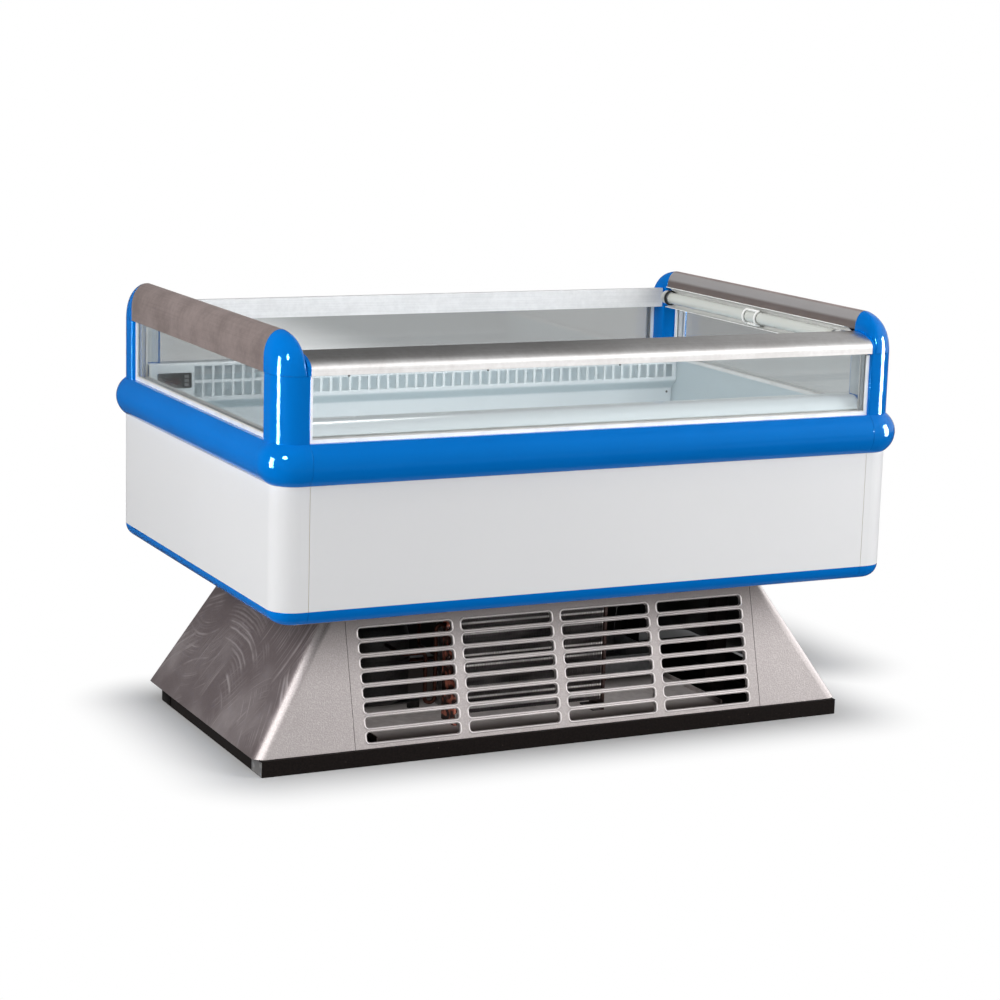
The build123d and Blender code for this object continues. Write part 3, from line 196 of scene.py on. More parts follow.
def makeBluePlastic():
    material, paint = startFinish("blue_gloss_plastic")
    mottle = paint.grain(6.0)
    scuff = paint.grain(90, 6.0, (1, 1, 3)).between(*bluePlastic["scuffs"])
    peel = paint.grain(bluePlastic["peel"], 2.0)
    paint.principled({
        "Base Color": paint.colours(mottle, bluePlastic["dark"], bluePlastic["light"]),
        "Roughness": scuff * 0.07 + bluePlastic["rough"],
        "Specular IOR Level": bluePlastic["specular"],
        "Specular Tint": bluePlastic["gloss"],
        "Normal": paint.relief(peel, bluePlastic["peelDepth"], bluePlastic["edge"]),
    })
    return material


railSteel = {  # weights: streaks, clouds and blotches
    "long": {
        "colour": (0.80, 0.79, 0.785), "dark": (0.66, 0.64, 0.63), "stretch": (3, 420, 420),
        "rough": 0.24, "metallic": 1.0, "weights": (0.35, 0.3, 0.35),
    },
    "rear": {  # a lighter, less metallic copy of the same steel: painted light on its bright inside face
        "colour": (0.93, 0.93, 0.94), "dark": (0.80, 0.80, 0.81), "stretch": (3, 420, 420),
        "rough": 0.34, "metallic": 0.45, "weights": (0.35, 0.3, 0.35),
    },
    "end": {  # dull and a little brown, brushed less and cloudier
        "colour": (0.52, 0.425, 0.405), "dark": (0.36, 0.29, 0.275), "stretch": (420, 3, 420),
        "rough": 0.38, "metallic": 0.5, "weights": (0.18, 0.50, 0.32),
        "crown": (0.63, 0.61, 0.61), "paintedReflectionBand": (0.24, 0.20, 0.19),  # painted light and painted reflection on the inner face: lighter above, a dark band below for the dark room it reflects
        "turn": (0.0235, 0.0165),  # how far under the rail's top the one becomes the other
    },
}


def makeRailSteel(kind):
    values = railSteel[kind]
    material, paint = startFinish("brushed_steel_" + kind)
    streak = paint.grain(1.0, 4.0, values["stretch"], 0.65)
    cloud = paint.grain(9.0, 4.0)
    blotch = paint.grain(75, 5.0, (1, 1, 1), 0.7)
    streaks, clouds, blotches = values["weights"]
    shade = streak * streaks + cloud * clouds + blotch * blotches
    colour = paint.colours(shade.between(0.36, 0.64), values["dark"], values["colour"])
    # painted highlight and painted reflection on the end rails' inner faces
    if "paintedReflectionBand" in values:
        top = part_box("right_rail")[1].z
        upper = paint.place().along("Z").between(*(top - drop for drop in values["turn"]))
        paintedInner = paint.colours(upper, values["paintedReflectionBand"], values["crown"])
        outward = paint.place().along("X") * paint.facing().along("X")
        colour = paint.colours((-outward).between(0.2, 0.4) * 0.85, colour, paintedInner)
    paint.principled({
        "Base Color": colour,
        "Metallic": values["metallic"],
        "Roughness": shade * 0.16 + values["rough"],
        "Normal": paint.relief(streak, 0.00006, 0.0008),
    })
    return material


clearGlass = {
    "tint": (0.980, 0.984, 0.984),
    "film": (0.70, 0.76, 0.76),
    "gloss": (0.95, 0.97, 0.97),
    "veil": 0.006,
    "faceOn": 0.04,  # share mirrored where a face is seen straight on
    "rough": 0.015,
}


def makeClearGlass():  # clear pane with a thin film of dust, and the gloss that grows at a low angle
    material, paint = startFinish("clear_glass")
    dustAndSheen = paint.grain(4.0, 4.0)
    clear = paint.node("ShaderNodeBsdfTransparent", {}, {"Color": clearGlass["tint"]})
    film = paint.node("ShaderNodeBsdfPrincipled", {}, {"Base Color": clearGlass["film"], "Roughness": 0.6})
    sockets = {"Color": clearGlass["gloss"], "Roughness": clearGlass["rough"]}
    gloss = paint.node("ShaderNodeBsdfGlossy", {}, sockets)
    facing = paint.node("ShaderNodeLayerWeight", {}, {"Blend": 0.5}, "Facing")
    shine = paint.maths("POWER", facing, 5.0) * (1.0 - clearGlass["faceOn"]) + clearGlass["faceOn"]
    pane = paint.node("ShaderNodeMixShader", {}, {0: dustAndSheen * 0.01 + clearGlass["veil"], 1: clear, 2: film})
    pane = paint.node("ShaderNodeMixShader", {}, {0: shine, 1: pane, 2: gloss})
    paint.surface(pane)
    return material


spacerBar = {"light": (0.66, 0.68, 0.69), "dark": (0.42, 0.44, 0.46), "rough": 0.35, "metallic": 0.7}


def makeSpacerBar():
    material, paint = startFinish("glazing_spacer_bar")
    brush = paint.grain(260, 3.0, (1, 1, 0.1))
    paint.principled({
        "Base Color": paint.colours(brush, spacerBar["dark"], spacerBar["light"]),
        "Metallic": spacerBar["metallic"],
        "Roughness": brush * 0.15 + spacerBar["rough"],
    })
    return material


whiteChannel = {"light": (0.86, 0.865, 0.86), "dark": (0.76, 0.765, 0.755), "rough": 0.38}


def makeWhiteChannel():
    material, paint = startFinish("white_extruded_channel")
    grimeAndShade = paint.grain(26, 5.0)
    paint.principled({
        "Base Color": paint.colours(grimeAndShade.between(0.3, 0.6), whiteChannel["dark"], whiteChannel["light"]),
        "Roughness": grimeAndShade * 0.15 + whiteChannel["rough"],
        "Normal": paint.relief(paint.grain(500, 2.0), 0.00003, 0.0004),
    })
    return material


baseGrey = {
    "light": (0.485, 0.445, 0.440),
    "dark": (0.345, 0.314, 0.309),
    # painted shade: the end faces of the same sheet darker and warmer than its front
    "endShade": (0.128, 0.095, 0.098),
    "smear": (0.58, 0.53, 0.525),
    # painted shadow colour under the tank
    "grimeAndShade": (0.125, 0.110, 0.108),
    "inside": (0.035, 0.032, 0.031),  # painted shade: the inner faces near black, for the dark inside of the base
    "rough": 0.34,
    "metallic": 0.82,
    "pebble": 400.0,  # pebbles of about 2.5 mm
    "relief": 0.0004,
    "edge": 0.0009,
    "overhangShadow": (0.15, 0.32),  # the heights between which a painted shadow of the tank's overhang darkens it
    "bend": (0.2, 0.45),  # how far a face leans sideways at the bend, and on an end face
    "ends": (0.60, 0.75),
    "wipes": [  # where each sweep of the rag turns
        (-0.62, -0.28, 0.0),
        (-0.56, 0.22, 0.30),
        (-0.64, 0.05, -0.12),
    ],
    "wipePitch": 190.0,
}


def wipeMarks(paint, spot):
    marks = paint.grain(7.0, 5.0).between(0.40, 0.85) * 0.45
    for index, centre in enumerate(baseGrey["wipes"]):
        sweep = paint.vectors("DISTANCE", {0: spot, 1: centre})
        drift = paint.grain(4.0 + index, 3.0)
        across = sweep * baseGrey["wipePitch"] + drift * 4.0
        arc = paint.node("ShaderNodeCombineXYZ", {}, {0: across, 1: drift * 2.0, 2: index * 3.7})
        sockets = {"Vector": arc, "Scale": 1.0, "Detail": 4.0, "Roughness": 0.6}
        streak = paint.node("ShaderNodeTexNoise", {}, sockets).between(0.42, 0.90)
        patch = paint.grain(6.5 + 1.7 * index, 3.0).between(0.44, 0.64)
        marks = marks.most(streak * patch)
    return marks


def makeBaseGrey(wiped):
    material, paint = startFinish("hammered_grey_wiped" if wiped else "hammered_grey")
    spot = paint.place()
    facing = paint.facing()
    pebble = paint.cells(baseGrey["pebble"], "SMOOTH_F1")
    speck = paint.grain(520, 3.0)
    cloud = paint.grain(5.0, 4.0)
    shade = pebble * 0.5 + speck * 0.3 + cloud * 0.3
    colour = paint.colours(shade.between(0.22, 0.86), baseGrey["dark"], baseGrey["light"])
    # painted shadow of the tank's overhang, darker towards the top
    overhangShadow = spot.along("Z").between(*baseGrey["overhangShadow"]) * 0.92
    rough = speck * 0.14 + baseGrey["rough"]
    grit = pebble * 0.6 + speck * 0.4
    metal = baseGrey["metallic"]
    if wiped:  # rag marks swept in arcs over the end faces
        lean = abs(facing.along("X"))
        ends = lean.between(*baseGrey["ends"])
        bend = lean.between(*baseGrey["bend"]) - ends
        overhangShadow = overhangShadow * (1.0 - bend * 0.85)  # the painted shadow stays off the bend between two faces
        colour = paint.colours(overhangShadow, colour, baseGrey["grimeAndShade"])
        # painted shade on the end faces
        colour = paint.colours(ends * 0.82, colour, baseGrey["endShade"])
        mark = ends * wipeMarks(paint, spot) * 0.85
        colour = paint.colours(mark, colour, baseGrey["smear"])
        rough = rough + mark * 0.22 - ends * 0.05
        grit = grit * (1.0 - ends * 0.75)
        metal = metal - ends * 0.52 - mark * 0.2
    else:
        colour = paint.colours(overhangShadow, colour, baseGrey["grimeAndShade"])
    # painted shade on the inner faces
    level = paint.vectors("MULTIPLY", {0: spot, 1: (1, 1, 0)}, "Vector")
    outward = paint.vectors("DOT_PRODUCT", {0: level, 1: facing})
    inside = (-outward).between(0.0, 0.01)
    paint.principled({
        "Base Color": paint.colours(inside, colour, baseGrey["inside"]),
        "Metallic": (1.0 - inside) * metal,
        "Roughness": rough,
        "Normal": paint.relief(grit, baseGrey["relief"], baseGrey["edge"]),
    })
    return material


# a lighter copy of the base grey: painted highlight on the rolled lips
litLip = {"light": (0.84, 0.795, 0.785), "dark": (0.74, 0.695, 0.685), "rough": 0.27, "metallic": 0.85}


def makeSatinLip():
    material, paint = startFinish("lit_grey_lip")
    speck = paint.grain(320, 3.0)
    paint.principled({
        "Base Color": paint.colours(speck, litLip["dark"], litLip["light"]),
        "Metallic": litLip["metallic"],
        "Roughness": speck * 0.08 + litLip["rough"],
        "Normal": paint.relief(speck, 0.000008),
    })
    return material


plinthBlack = {
    "light": (0.013, 0.009, 0.008),
    "dark": (0.005, 0.0036, 0.0033),
    "chip": (0.10, 0.075, 0.065),
    "specular": 0.12,
    "rough": 0.46,
}


def makePlinthBlack():
    material, paint = startFinish("plinth_black_paint")
    speck = paint.grain(240, 4.0)
    chip = paint.grain(120, 5.0).between(0.70, 0.76)
    colour = paint.colours(speck.between(0.3, 0.7), plinthBlack["dark"], plinthBlack["light"])
    paint.principled({
        "Base Color": paint.colours(chip, colour, plinthBlack["chip"]),
        "Roughness": speck * 0.3 + plinthBlack["rough"],
        "Specular IOR Level": plinthBlack["specular"],
        "Normal": paint.relief(speck, 0.0002, 0.0012),
    })
    return material


galvanised = {"light": (0.62, 0.61, 0.60), "dark": (0.38, 0.37, 0.365), "rough": 0.36, "metallic": 0.9}


def makeGalvanised():
    material, paint = startFinish("galvanised_sheet")
    spangle = paint.cells(75, "F1")
    grit = paint.grain(160, 4.0)
    shade = (spangle * 1.2 + grit * 0.5).between(0.3, 1.0)
    paint.principled({
        "Base Color": paint.colours(shade, galvanised["light"], galvanised["dark"]),
        "Metallic": galvanised["metallic"],
        "Roughness": grit * 0.25 + galvanised["rough"],
        "Normal": paint.relief(grit, 0.00008, 0.0004),
    })
    return material


paleSheet = {
    "cover": {"light": (0.755, 0.812, 0.842), "dark": (0.71, 0.772, 0.805), "rough": 0.20},
    "liner": {"light": (0.68, 0.79, 0.83), "dark": (0.64, 0.75, 0.795), "rough": 0.24},
    "under": (0.46, 0.56, 0.60),  # painted shade: faces that look down turn darker and bluer
}


def makePaleSheet(kind):
    values = paleSheet[kind]
    material, paint = startFinish("pale_well_enamel_" + kind)
    mottle = paint.grain(3.5, 4.0)
    peel = paint.grain(520, 2.0)
    down = -paint.facing().along("Z")
    colour = paint.colours(mottle, values["dark"], values["light"])
    paint.principled({
        "Base Color": paint.colours(down.between(0.2, 0.6), colour, paleSheet["under"]),
        "Roughness": mottle * 0.12 + values["rough"],
        "Normal": paint.relief(peel, 0.00003, 0.0006),
    })
    return material


def makeMottled(name, dark, light, scale, rough, metallic=0.0, bump=0.0001):
    material, paint = startFinish(name)
    mottle = paint.grain(scale, 5.0)
    wear = paint.grain(scale * 0.12, 4.0)
    shade = mottle * 0.6 + wear * 0.4
    paint.principled({
        "Base Color": paint.colours(shade.between(0.32, 0.68), dark, light),
        "Metallic": metallic,
        "Roughness": shade * 0.25 + rough,
        "Normal": paint.relief(mottle, bump, 0.0004),
    })
    return material


trayDust = {
    "dark": (0.62, 0.56, 0.545),
    "light": (0.80, 0.74, 0.725),
    # painted shade at the front edge and towards the back of the tray
    "grimeAndShade": (0.07, 0.055, 0.05),
    "front": (-0.295, -0.20),  # from where to where the painted shade at the front thins out, in Y
    "back": (-0.12, -0.03),
    "rough": 0.42,
}


def makeTrayDust():
    material, paint = startFinish("dusty_tray_sheet")
    mottle = paint.grain(60, 5.0)
    shade = mottle * 0.6 + paint.grain(7, 4.0) * 0.4
    depth = paint.place().along("Y")
    # painted shade: dark at the front edge and towards the back, lit in between
    litBand = depth.between(*trayDust["front"]) * (1.0 - depth.between(*trayDust["back"]))
    dustAndSheen = paint.colours(shade.between(0.32, 0.68), trayDust["dark"], trayDust["light"])
    paint.principled({
        "Base Color": paint.colours(litBand, trayDust["grimeAndShade"], dustAndSheen),
        "Metallic": 0.15,
        "Roughness": shade * 0.25 + trayDust["rough"],
        "Normal": paint.relief(mottle, 0.0001, 0.0004),
    })
    return material


finPack = {
    # painted shade: the fins near black, darker than bare aluminium, for the dark inside of the base
    "light": (0.115, 0.102, 0.10),
    "dark": (0.014, 0.011, 0.0105),
    "glint": (1.0, 0.95, 0.93),
    "tubeStart": 0.0682,  # height of the lowest tube
    "tubePitch": 0.0221,
    "tubeEdge": (0.0006, 0.0034),  # how far from its middle a tube's glint starts to fade, and ends
    # painted copper glints in blobs, over a painted shade on the bends
    "copper": (0.48, 0.15, 0.10),
    "bendShade": (0.035, 0.018, 0.015),
    "bends": (0.0155, 0.0175),  # how far the copper bends reach in from the left and the right
    "pitch": 0.002,
}


def makeFinPack(bends=None):  # bends: where the copper bends begin at each end
    material, paint = startFinish("aluminium_fin_pack" if bends is None else "coil_with_copper_bends")
    across = paint.place().along("X")
    wave = paint.maths("PINGPONG", across, finPack["pitch"] / 2) * (2 / finPack["pitch"])
    dustAndSheen = paint.grain(14, 5.0, (1, 1, 11))  # level streaks: dust, and a painted reflection of the shine along the fins
    shade = wave * 0.2 + dustAndSheen * 0.8
    colour = paint.colours(shade.between(0.38, 0.64), finPack["dark"], finPack["light"])
    rise = paint.place().along("Z") - finPack["tubeStart"]
    off = paint.maths("PINGPONG", rise, finPack["tubePitch"] / 2)  # how far from the middle of a tube
    patchy = paint.grain(9, 2.0).between(0.30, 0.60) * 0.45 + 0.55
    glint = (1.0 - off.between(*finPack["tubeEdge"])) * patchy
    colour = paint.colours(glint, colour, finPack["glint"])
    if bends:
        left = (-across).between(-bends[0], 0.001 - bends[0])
        right = across.between(bends[1], bends[1] + 0.001)
        # painted shade over the copper bends, with painted copper glints in blobs
        colour = paint.colours(left.most(right), colour, finPack["bendShade"])
        colour = paint.colours(left * paint.grain(62, 2.0).between(0.48, 0.60), colour, finPack["copper"])
    paint.principled({
        "Base Color": colour,
        "Metallic": 0.5 - glint * 0.5,
        "Roughness": dustAndSheen * 0.2 + 0.3,
        "Normal": paint.relief(wave, 0.0003),
    })
    return material


lampTube = {
    "light": (0.56, 0.575, 0.545),
    "dark": (0.44, 0.44, 0.39),
    "ends": (0.301, 0.35),  # from where to where it darkens, either way from its middle
    "rough": 0.12,
    "coat": 0.5,
}


def makeLampTube():  # phosphor a little darker towards the ends
    material, paint = startFinish("lamp_tube_phosphor")
    ends = abs(paint.place().along("Y")).between(*lampTube["ends"])
    dustAndSheen = paint.grain(40, 4.0)
    paint.principled({
        "Base Color": paint.colours(ends * 0.7 + dustAndSheen * 0.2, lampTube["light"], lampTube["dark"]),
        "Roughness": dustAndSheen * 0.1 + lampTube["rough"],
        "Coat Weight": lampTube["coat"],
    })
    return material


displayRed = {
    "light": (0.075, 0.012, 0.010),
    "dark": (0.012, 0.006, 0.006),
    "rise": (0.655, 0.671),  # the heights between which it darkens
    "rough": 0.08,
    "coat": 0.5,
}


def makeDisplayWindow():
    material, paint = startFinish("display_window")
    tint = paint.grain(90, 2.0) * 0.3 + paint.place().along("Z").between(*displayRed["rise"]) * 0.7
    paint.principled({
        "Base Color": paint.colours(tint, displayRed["light"], displayRed["dark"]),
        "Roughness": paint.grain(60, 2.0) * 0.1 + displayRed["rough"],
        "Coat Weight": displayRed["coat"],
    })
    return material


mottled = {  # name, dark, light, grain, roughness, then metallic and bump where they differ
    "foam": ("pale_foam", (0.66, 0.55, 0.34), (0.80, 0.70, 0.48), 300, 0.7),
    "machine_black": ("machine_black_enamel", (0.010, 0.010, 0.011), (0.035, 0.033, 0.032), 220, 0.42),
    "rubber": ("black_rubber", (0.012, 0.012, 0.012), (0.03, 0.029, 0.028), 400, 0.6),
    "copper": ("copper_tube", (0.28, 0.09, 0.05), (0.62, 0.25, 0.15), 160, 0.24, 0.9, 0.00005),
    # painted shade: copper darkened to near black for the pipes in the dark machine space
    "shaded_copper": ("shaded_copper_pipe", (0.04, 0.016, 0.012), (0.13, 0.05, 0.034), 160, 0.36, 0.9),
    "black_plastic": ("black_moulding", (0.012, 0.012, 0.013), (0.028, 0.027, 0.027), 700, 0.34),
    "key_grey": ("key_grey_moulding", (0.20, 0.20, 0.205), (0.27, 0.27, 0.275), 600, 0.4),
    "pan_plastic": ("pan_plastic", (0.30, 0.31, 0.32), (0.42, 0.43, 0.44), 90, 0.4),
    "lamp_white": ("lamp_white_enamel", (0.74, 0.74, 0.72), (0.84, 0.84, 0.82), 40, 0.26),
    "seal": ("seal_bead", (0.66, 0.645, 0.62), (0.76, 0.745, 0.72), 120, 0.5),
}
finishes = {slot: makeMottled(*values) for slot, values in mottled.items()}
finishes.update({
    "white_paint": makePanelPaint(),
    "galvanised": makeGalvanised(),
    "pale_sheet": makePaleSheet("cover"),
    "blue_gloss": makeBluePlastic(),
    "rail_steel": makeRailSteel("long"),
    "glass": makeClearGlass(),
    "spacer": makeSpacerBar(),
    "white_channel": makeWhiteChannel(),
    "base_grey": makeBaseGrey(False),
    "plinth_black": makePlinthBlack(),
    "fins": makeFinPack(),
    "lamp_glass": makeLampTube(),
})
endRailSteel = makeRailSteel("end")
wipedGrey = makeBaseGrey(True)
litLipGrey = makeSatinLip()
coilLow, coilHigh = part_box("condenser_coil")
coilBends = (coilLow.x + finPack["bends"][0], coilHigh.x - finPack["bends"][1])
ownFinish = {  # nodes that differ from the rest of their slot
    "rear_rail": makeRailSteel("rear"),
    "left_rail": endRailSteel,
    "right_rail": endRailSteel,
    "base_left_shell": wipedGrey,
    "base_right_shell": wipedGrey,
    "machine_tray": makeTrayDust(),
    "liner_tub": makePaleSheet("liner"),
    # painted shade on the pipes
    "refrigerant_pipes": finishes["shaded_copper"],
    "condenser_coil": makeFinPack(coilBends),
    "lampholders": finishes["lamp_white"],
}
for subpart in frame["record"]["subparts"]:
    finish = ownFinish.get(subpart["node"], finishes[subpart["material_slot"]])
    for slot in nodes[subpart["node"]].material_slots:
        slot.material = finish


# New pieces
def addPiece(name, bm, finish, body="cabinet", sharp=35.0):
    bmesh.ops.remove_doubles(bm, verts=bm.verts, dist=1e-6)
    bmesh.ops.recalc_face_normals(bm, faces=bm.faces)
    mesh = bpy.data.meshes.new(name)
    bm.to_mesh(mesh)
    bm.free()
    mesh.materials.append(finish)
    mesh.shade_smooth()
    mesh.set_sharp_from_angle(angle=math.radians(sharp))
    piece = bpy.data.objects.new(name, mesh)
    bpy.context.scene.collection.objects.link(piece)
    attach(piece, body)
    return piece


def edgesOf(verts):  # in the same order each run
    return list(dict.fromkeys(edge for vert in verts for edge in vert.link_edges))


def facesOf(verts):
    return list(dict.fromkeys(face for vert in verts for face in vert.link_faces))


def roundEdges(bm, edges, width):
    bmesh.ops.bevel(
        bm, geom=edges, offset=width, offset_type="OFFSET", segments=2, profile=0.5, affect="EDGES",
        material=-1,
    )


def addBlock(bm, low, high, softness=0.0):
    low = Vector(low)
    high = Vector(high)
    shape = Matrix.Translation((low + high) / 2) @ Matrix.Diagonal((*(high - low), 1.0))
    made = bmesh.ops.create_cube(bm, size=1.0, matrix=shape)
    if softness:
        roundEdges(bm, edgesOf(made["verts"]), softness)


# Rolled lips round the grille slots
grilleLip = {
    "slotLength": 0.201,
    "slotHeight": 0.020,
    "corner": 0.0065,
    "columnStep": 0.2235,
    "rowStep": 0.0291,
    "columns": 4,
    "rows": {"front": 8, "rear": 4},
    "firstRow": {"front": 0.022, "rear": 0.110},
    "lean": {"front": 77 / 290, "rear": 59 / 290},  # each panel's run over its rise
    "segments": 32,
    "section": [  # spread from the slot's edge, height over the panel's face
        (0.0044, -0.0003),
        (0.0041, 0.0004),
        (0.0034, 0.0011),
        (0.0026, 0.0014),
        (0.0018, 0.0012),
        (0.0011, 0.0006),
        (0.0005, -0.0005),
        (0.0001, -0.0018),
        (-0.0002, -0.0034),
        (-0.0004, -0.0074),
        (0.0005, -0.0068),
        (0.0010, -0.0022),
    ],
}


def slotRing(bm, spread, height):  # a circle whose quarters are drawn apart to the slot's corners
    reachX = grilleLip["slotLength"] / 2 - grilleLip["corner"]
    reachY = grilleLip["slotHeight"] / 2 - grilleLip["corner"]
    halfStep = Matrix.Rotation(math.pi / grilleLip["segments"], 4, "Z")
    ring = bmesh.ops.create_circle(
        bm, segments=grilleLip["segments"], radius=grilleLip["corner"] + spread, matrix=halfStep
    )
    quarters = [(math.copysign(1, vert.co.x), math.copysign(1, vert.co.y)) for vert in ring["verts"]]
    for vert, (sideX, sideY) in zip(ring["verts"], quarters):
        bmesh.ops.translate(bm, verts=[vert], vec=(sideX * reachX, sideY * reachY, height))
    return edgesOf(ring["verts"])


def panelFrame(side):
    low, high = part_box(side + "_grille_panel")
    way = 1 if side == "front" else -1
    along = Vector((way, 0, 0))
    foot = Vector(((low.x + high.x) / 2, low.y if side == "front" else high.y, low.z))
    rise = Vector((0, way * grilleLip["lean"][side], 1)).normalized()
    turned = Matrix((along, rise, along.cross(rise))).transposed().to_4x4()
    return Matrix.Translation(foot) @ turned


def makeGrilleLips(side):
    bm = bmesh.new()
    rings = [slotRing(bm, spread, height) for spread, height in grilleLip["section"]]
    for index, ring in enumerate(rings):
        bmesh.ops.bridge_loops(bm, edges=rings[index - 1] + ring)
    patternVerts = bm.verts[:]
    pattern = patternVerts + bm.edges[:] + bm.faces[:]
    for column in range(grilleLip["columns"]):
        for row in range(grilleLip["rows"][side]):
            shift = Vector((
                (column - (grilleLip["columns"] - 1) / 2) * grilleLip["columnStep"],
                grilleLip["firstRow"][side] + row * grilleLip["rowStep"],
                0,
            ))
            copy = bmesh.ops.duplicate(bm, geom=pattern)
            verts = [item for item in copy["geom"] if isinstance(item, bmesh.types.BMVert)]
            bmesh.ops.translate(bm, verts=verts, vec=shift)
    bmesh.ops.delete(bm, geom=patternVerts, context="VERTS")
    bmesh.ops.transform(bm, matrix=panelFrame(side), verts=bm.verts)
    return addPiece(side + "_grille_lips", bm, litLipGrey, sharp=50.0)


makeGrilleLips("front")
makeGrilleLips("rear")
print("grille lips rolled")

# Fins that stand out of the condenser block
finComb = {
    "bendReach": 0.0165,
    "endPlate": 0.003,
    "lift": 0.024,
    "pitch": 0.002,
    "thickness": 0.0005,
    "proud": 0.0015,
}


def makeFinComb():
    low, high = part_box("condenser_coil")
    first = low.x + finComb["bendReach"] + finComb["endPlate"] + finComb["pitch"] / 2
    last = high.x - finComb["bendReach"] - finComb["endPlate"]
    bm = bmesh.new()
    for index in range(math.floor((last - first) / finComb["pitch"]) + 1):
        x = first + index * finComb["pitch"]
        addBlock(
            bm,
            (x - finComb["thickness"] / 2, low.y - finComb["proud"], low.z + finComb["lift"]),
            (x + finComb["thickness"] / 2, high.y, high.z),
        )
    return addPiece("condenser_fins", bm, finishes["fins"])


makeFinComb()
print("condenser fins cut")

# Pan-head screws in the rear duct cover
ductScrews = {
    "upper": [(-0.185, 0.6593), (0.153, 0.6593), (0.491, 0.6593)],
    "lower": [(-0.630, 0.588), (0.630, 0.588)],
    "lowerStep": 0.021,
    "bezel": 0.003,  # how far the controller's bezel stands off the cover
    "radius": 0.0028,
    "height": 0.0018,
    "sides": 20,
    "taper": 0.8,
    "crown": 0.3,  # bevel as a share of the height
    "recess": 0.42,  # rim round the recess as a share of the radius
    "depth": 0.4,
}


def addPanHead(bm, place):
    radius, height, sides = (ductScrews[name] for name in ("radius", "height", "sides"))
    outward = Matrix.Rotation(math.radians(90), 4, "X")
    made = bmesh.ops.create_cone(
        bm, cap_ends=True, segments=sides, radius1=radius, radius2=radius * ductScrews["taper"],
        depth=height, matrix=Matrix.Translation(place) @ outward,
    )
    crown = min(facesOf(made["verts"]), key=lambda face: face.calc_center_median().y)
    roundEdges(bm, list(crown.edges), height * ductScrews["crown"])
    faces = [face for face in bm.faces if len(face.verts) == sides]
    crown = min(faces, key=lambda face: (face.calc_center_median() - Vector(place)).length + face.normal.y)
    bmesh.ops.inset_individual(bm, faces=[crown], thickness=radius * ductScrews["recess"])
    bmesh.ops.translate(bm, verts=crown.verts, vec=(0, height * ductScrews["depth"], 0))


def makeDuctScrews():
    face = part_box("controller_case")[0].y + ductScrews["bezel"]
    bm = bmesh.new()
    for row, step in (("upper", 0.0), ("lower", ductScrews["lowerStep"])):
        for x, z in ductScrews[row]:
            addPanHead(bm, (x, face + step - ductScrews["height"] / 2, z))
    return addPiece("duct_cover_screws", bm, finishes["machine_black"])


makeDuctScrews()

# Red window over the controller's digits
displayWindow = {
    "shift": 0.005,
    "width": 0.034,
    "height": 0.016,
    "recess": 0.001,
    "thickness": 0.0007,
    "softness": 0.0003,
}


def makeDisplay():
    low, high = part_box("controller_case")
    middle = (low + high) / 2
    centre = Vector((middle.x - displayWindow["shift"], low.y + displayWindow["recess"], middle.z))
    half = Vector((displayWindow["width"] / 2, 0, displayWindow["height"] / 2))
    front = Vector((0, displayWindow["thickness"], 0))
    bm = bmesh.new()
    addBlock(bm, centre - half - front, centre + half, displayWindow["softness"])
    return addPiece("controller_display", bm, makeDisplayWindow())


makeDisplay()
print("controller dressed")

# Plugs in the ends of the long plinth tubes, bare zinc at the front and painted at the rear
tubePlug = {"inset": 0.0022, "flange": 0.0018, "softness": 0.0007, "tube": 0.056}


def makeTubePlugs(name, frontEdge, slotName):
    low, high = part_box("plinth_long_tubes")
    inset, flange = tubePlug["inset"], tubePlug["flange"]
    backEdge = frontEdge + tubePlug["tube"]
    bm = bmesh.new()
    for endX in (low.x, high.x):
        addBlock(
            bm,
            (endX - flange, frontEdge + inset, low.z + inset),
            (endX + flange, backEdge - inset, high.z - inset),
            tubePlug["softness"],
        )
    return addPiece(name, bm, finishes[slotName])


makeTubePlugs("front_tube_plugs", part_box("plinth_long_tubes")[0].y, "galvanised")
makeTubePlugs("rear_tube_plugs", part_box("plinth_long_tubes")[1].y - tubePlug["tube"], "plinth_black")
print("plinth plugged")

# Metal end caps on the lamp tube
lampCap = {"radius": 0.01315, "length": 0.014, "softness": 0.001, "pinLength": 0.007, "proud": 0.0001}


def makeLampCaps():
    low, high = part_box("lamp_tube")
    centre = (low + high) / 2
    lying = Matrix.Rotation(math.radians(90), 4, "X")
    bm = bmesh.new()
    for side in (-1, 1):
        end = (high.y if side > 0 else low.y) - side * lampCap["pinLength"]
        spot = Vector((centre.x, end - side * (lampCap["length"] / 2 - lampCap["proud"]), centre.z))
        made = bmesh.ops.create_cone(
            bm, cap_ends=True, segments=48, radius1=lampCap["radius"], radius2=lampCap["radius"],
            depth=lampCap["length"], matrix=Matrix.Translation(spot) @ lying,
        )
        caps = [face for face in facesOf(made["verts"]) if len(face.verts) > 4]
        rims = [edge for face in caps for edge in face.edges]
        roundEdges(bm, rims, lampCap["softness"])
    return addPiece("lamp_tube_caps", bm, finishes["spacer"], body="lamp_tube")


makeLampCaps()

# Lamp trough with its wire clip
lampTrough = {
    "radius": 0.022,
    "sheet": 0.0015,
    "softness": 0.0004,
    "clipRadius": 0.0161,
    "wire": 0.0028,
    "clipHalf": 0.024,
    "clipShift": -0.022,
    "arc": (112.0, 262.0),  # degrees round the tube, from above to below, open towards the well
    "stem": 0.005,
}


def addWire(bm, start, end, radius):
    line = end - start
    turned = line.to_track_quat("Z", "Y").to_matrix().to_4x4()
    bmesh.ops.create_cone(
        bm, cap_ends=True, segments=16, radius1=radius, radius2=radius, depth=line.length,
        matrix=Matrix.Translation((start + end) / 2) @ turned,
    )


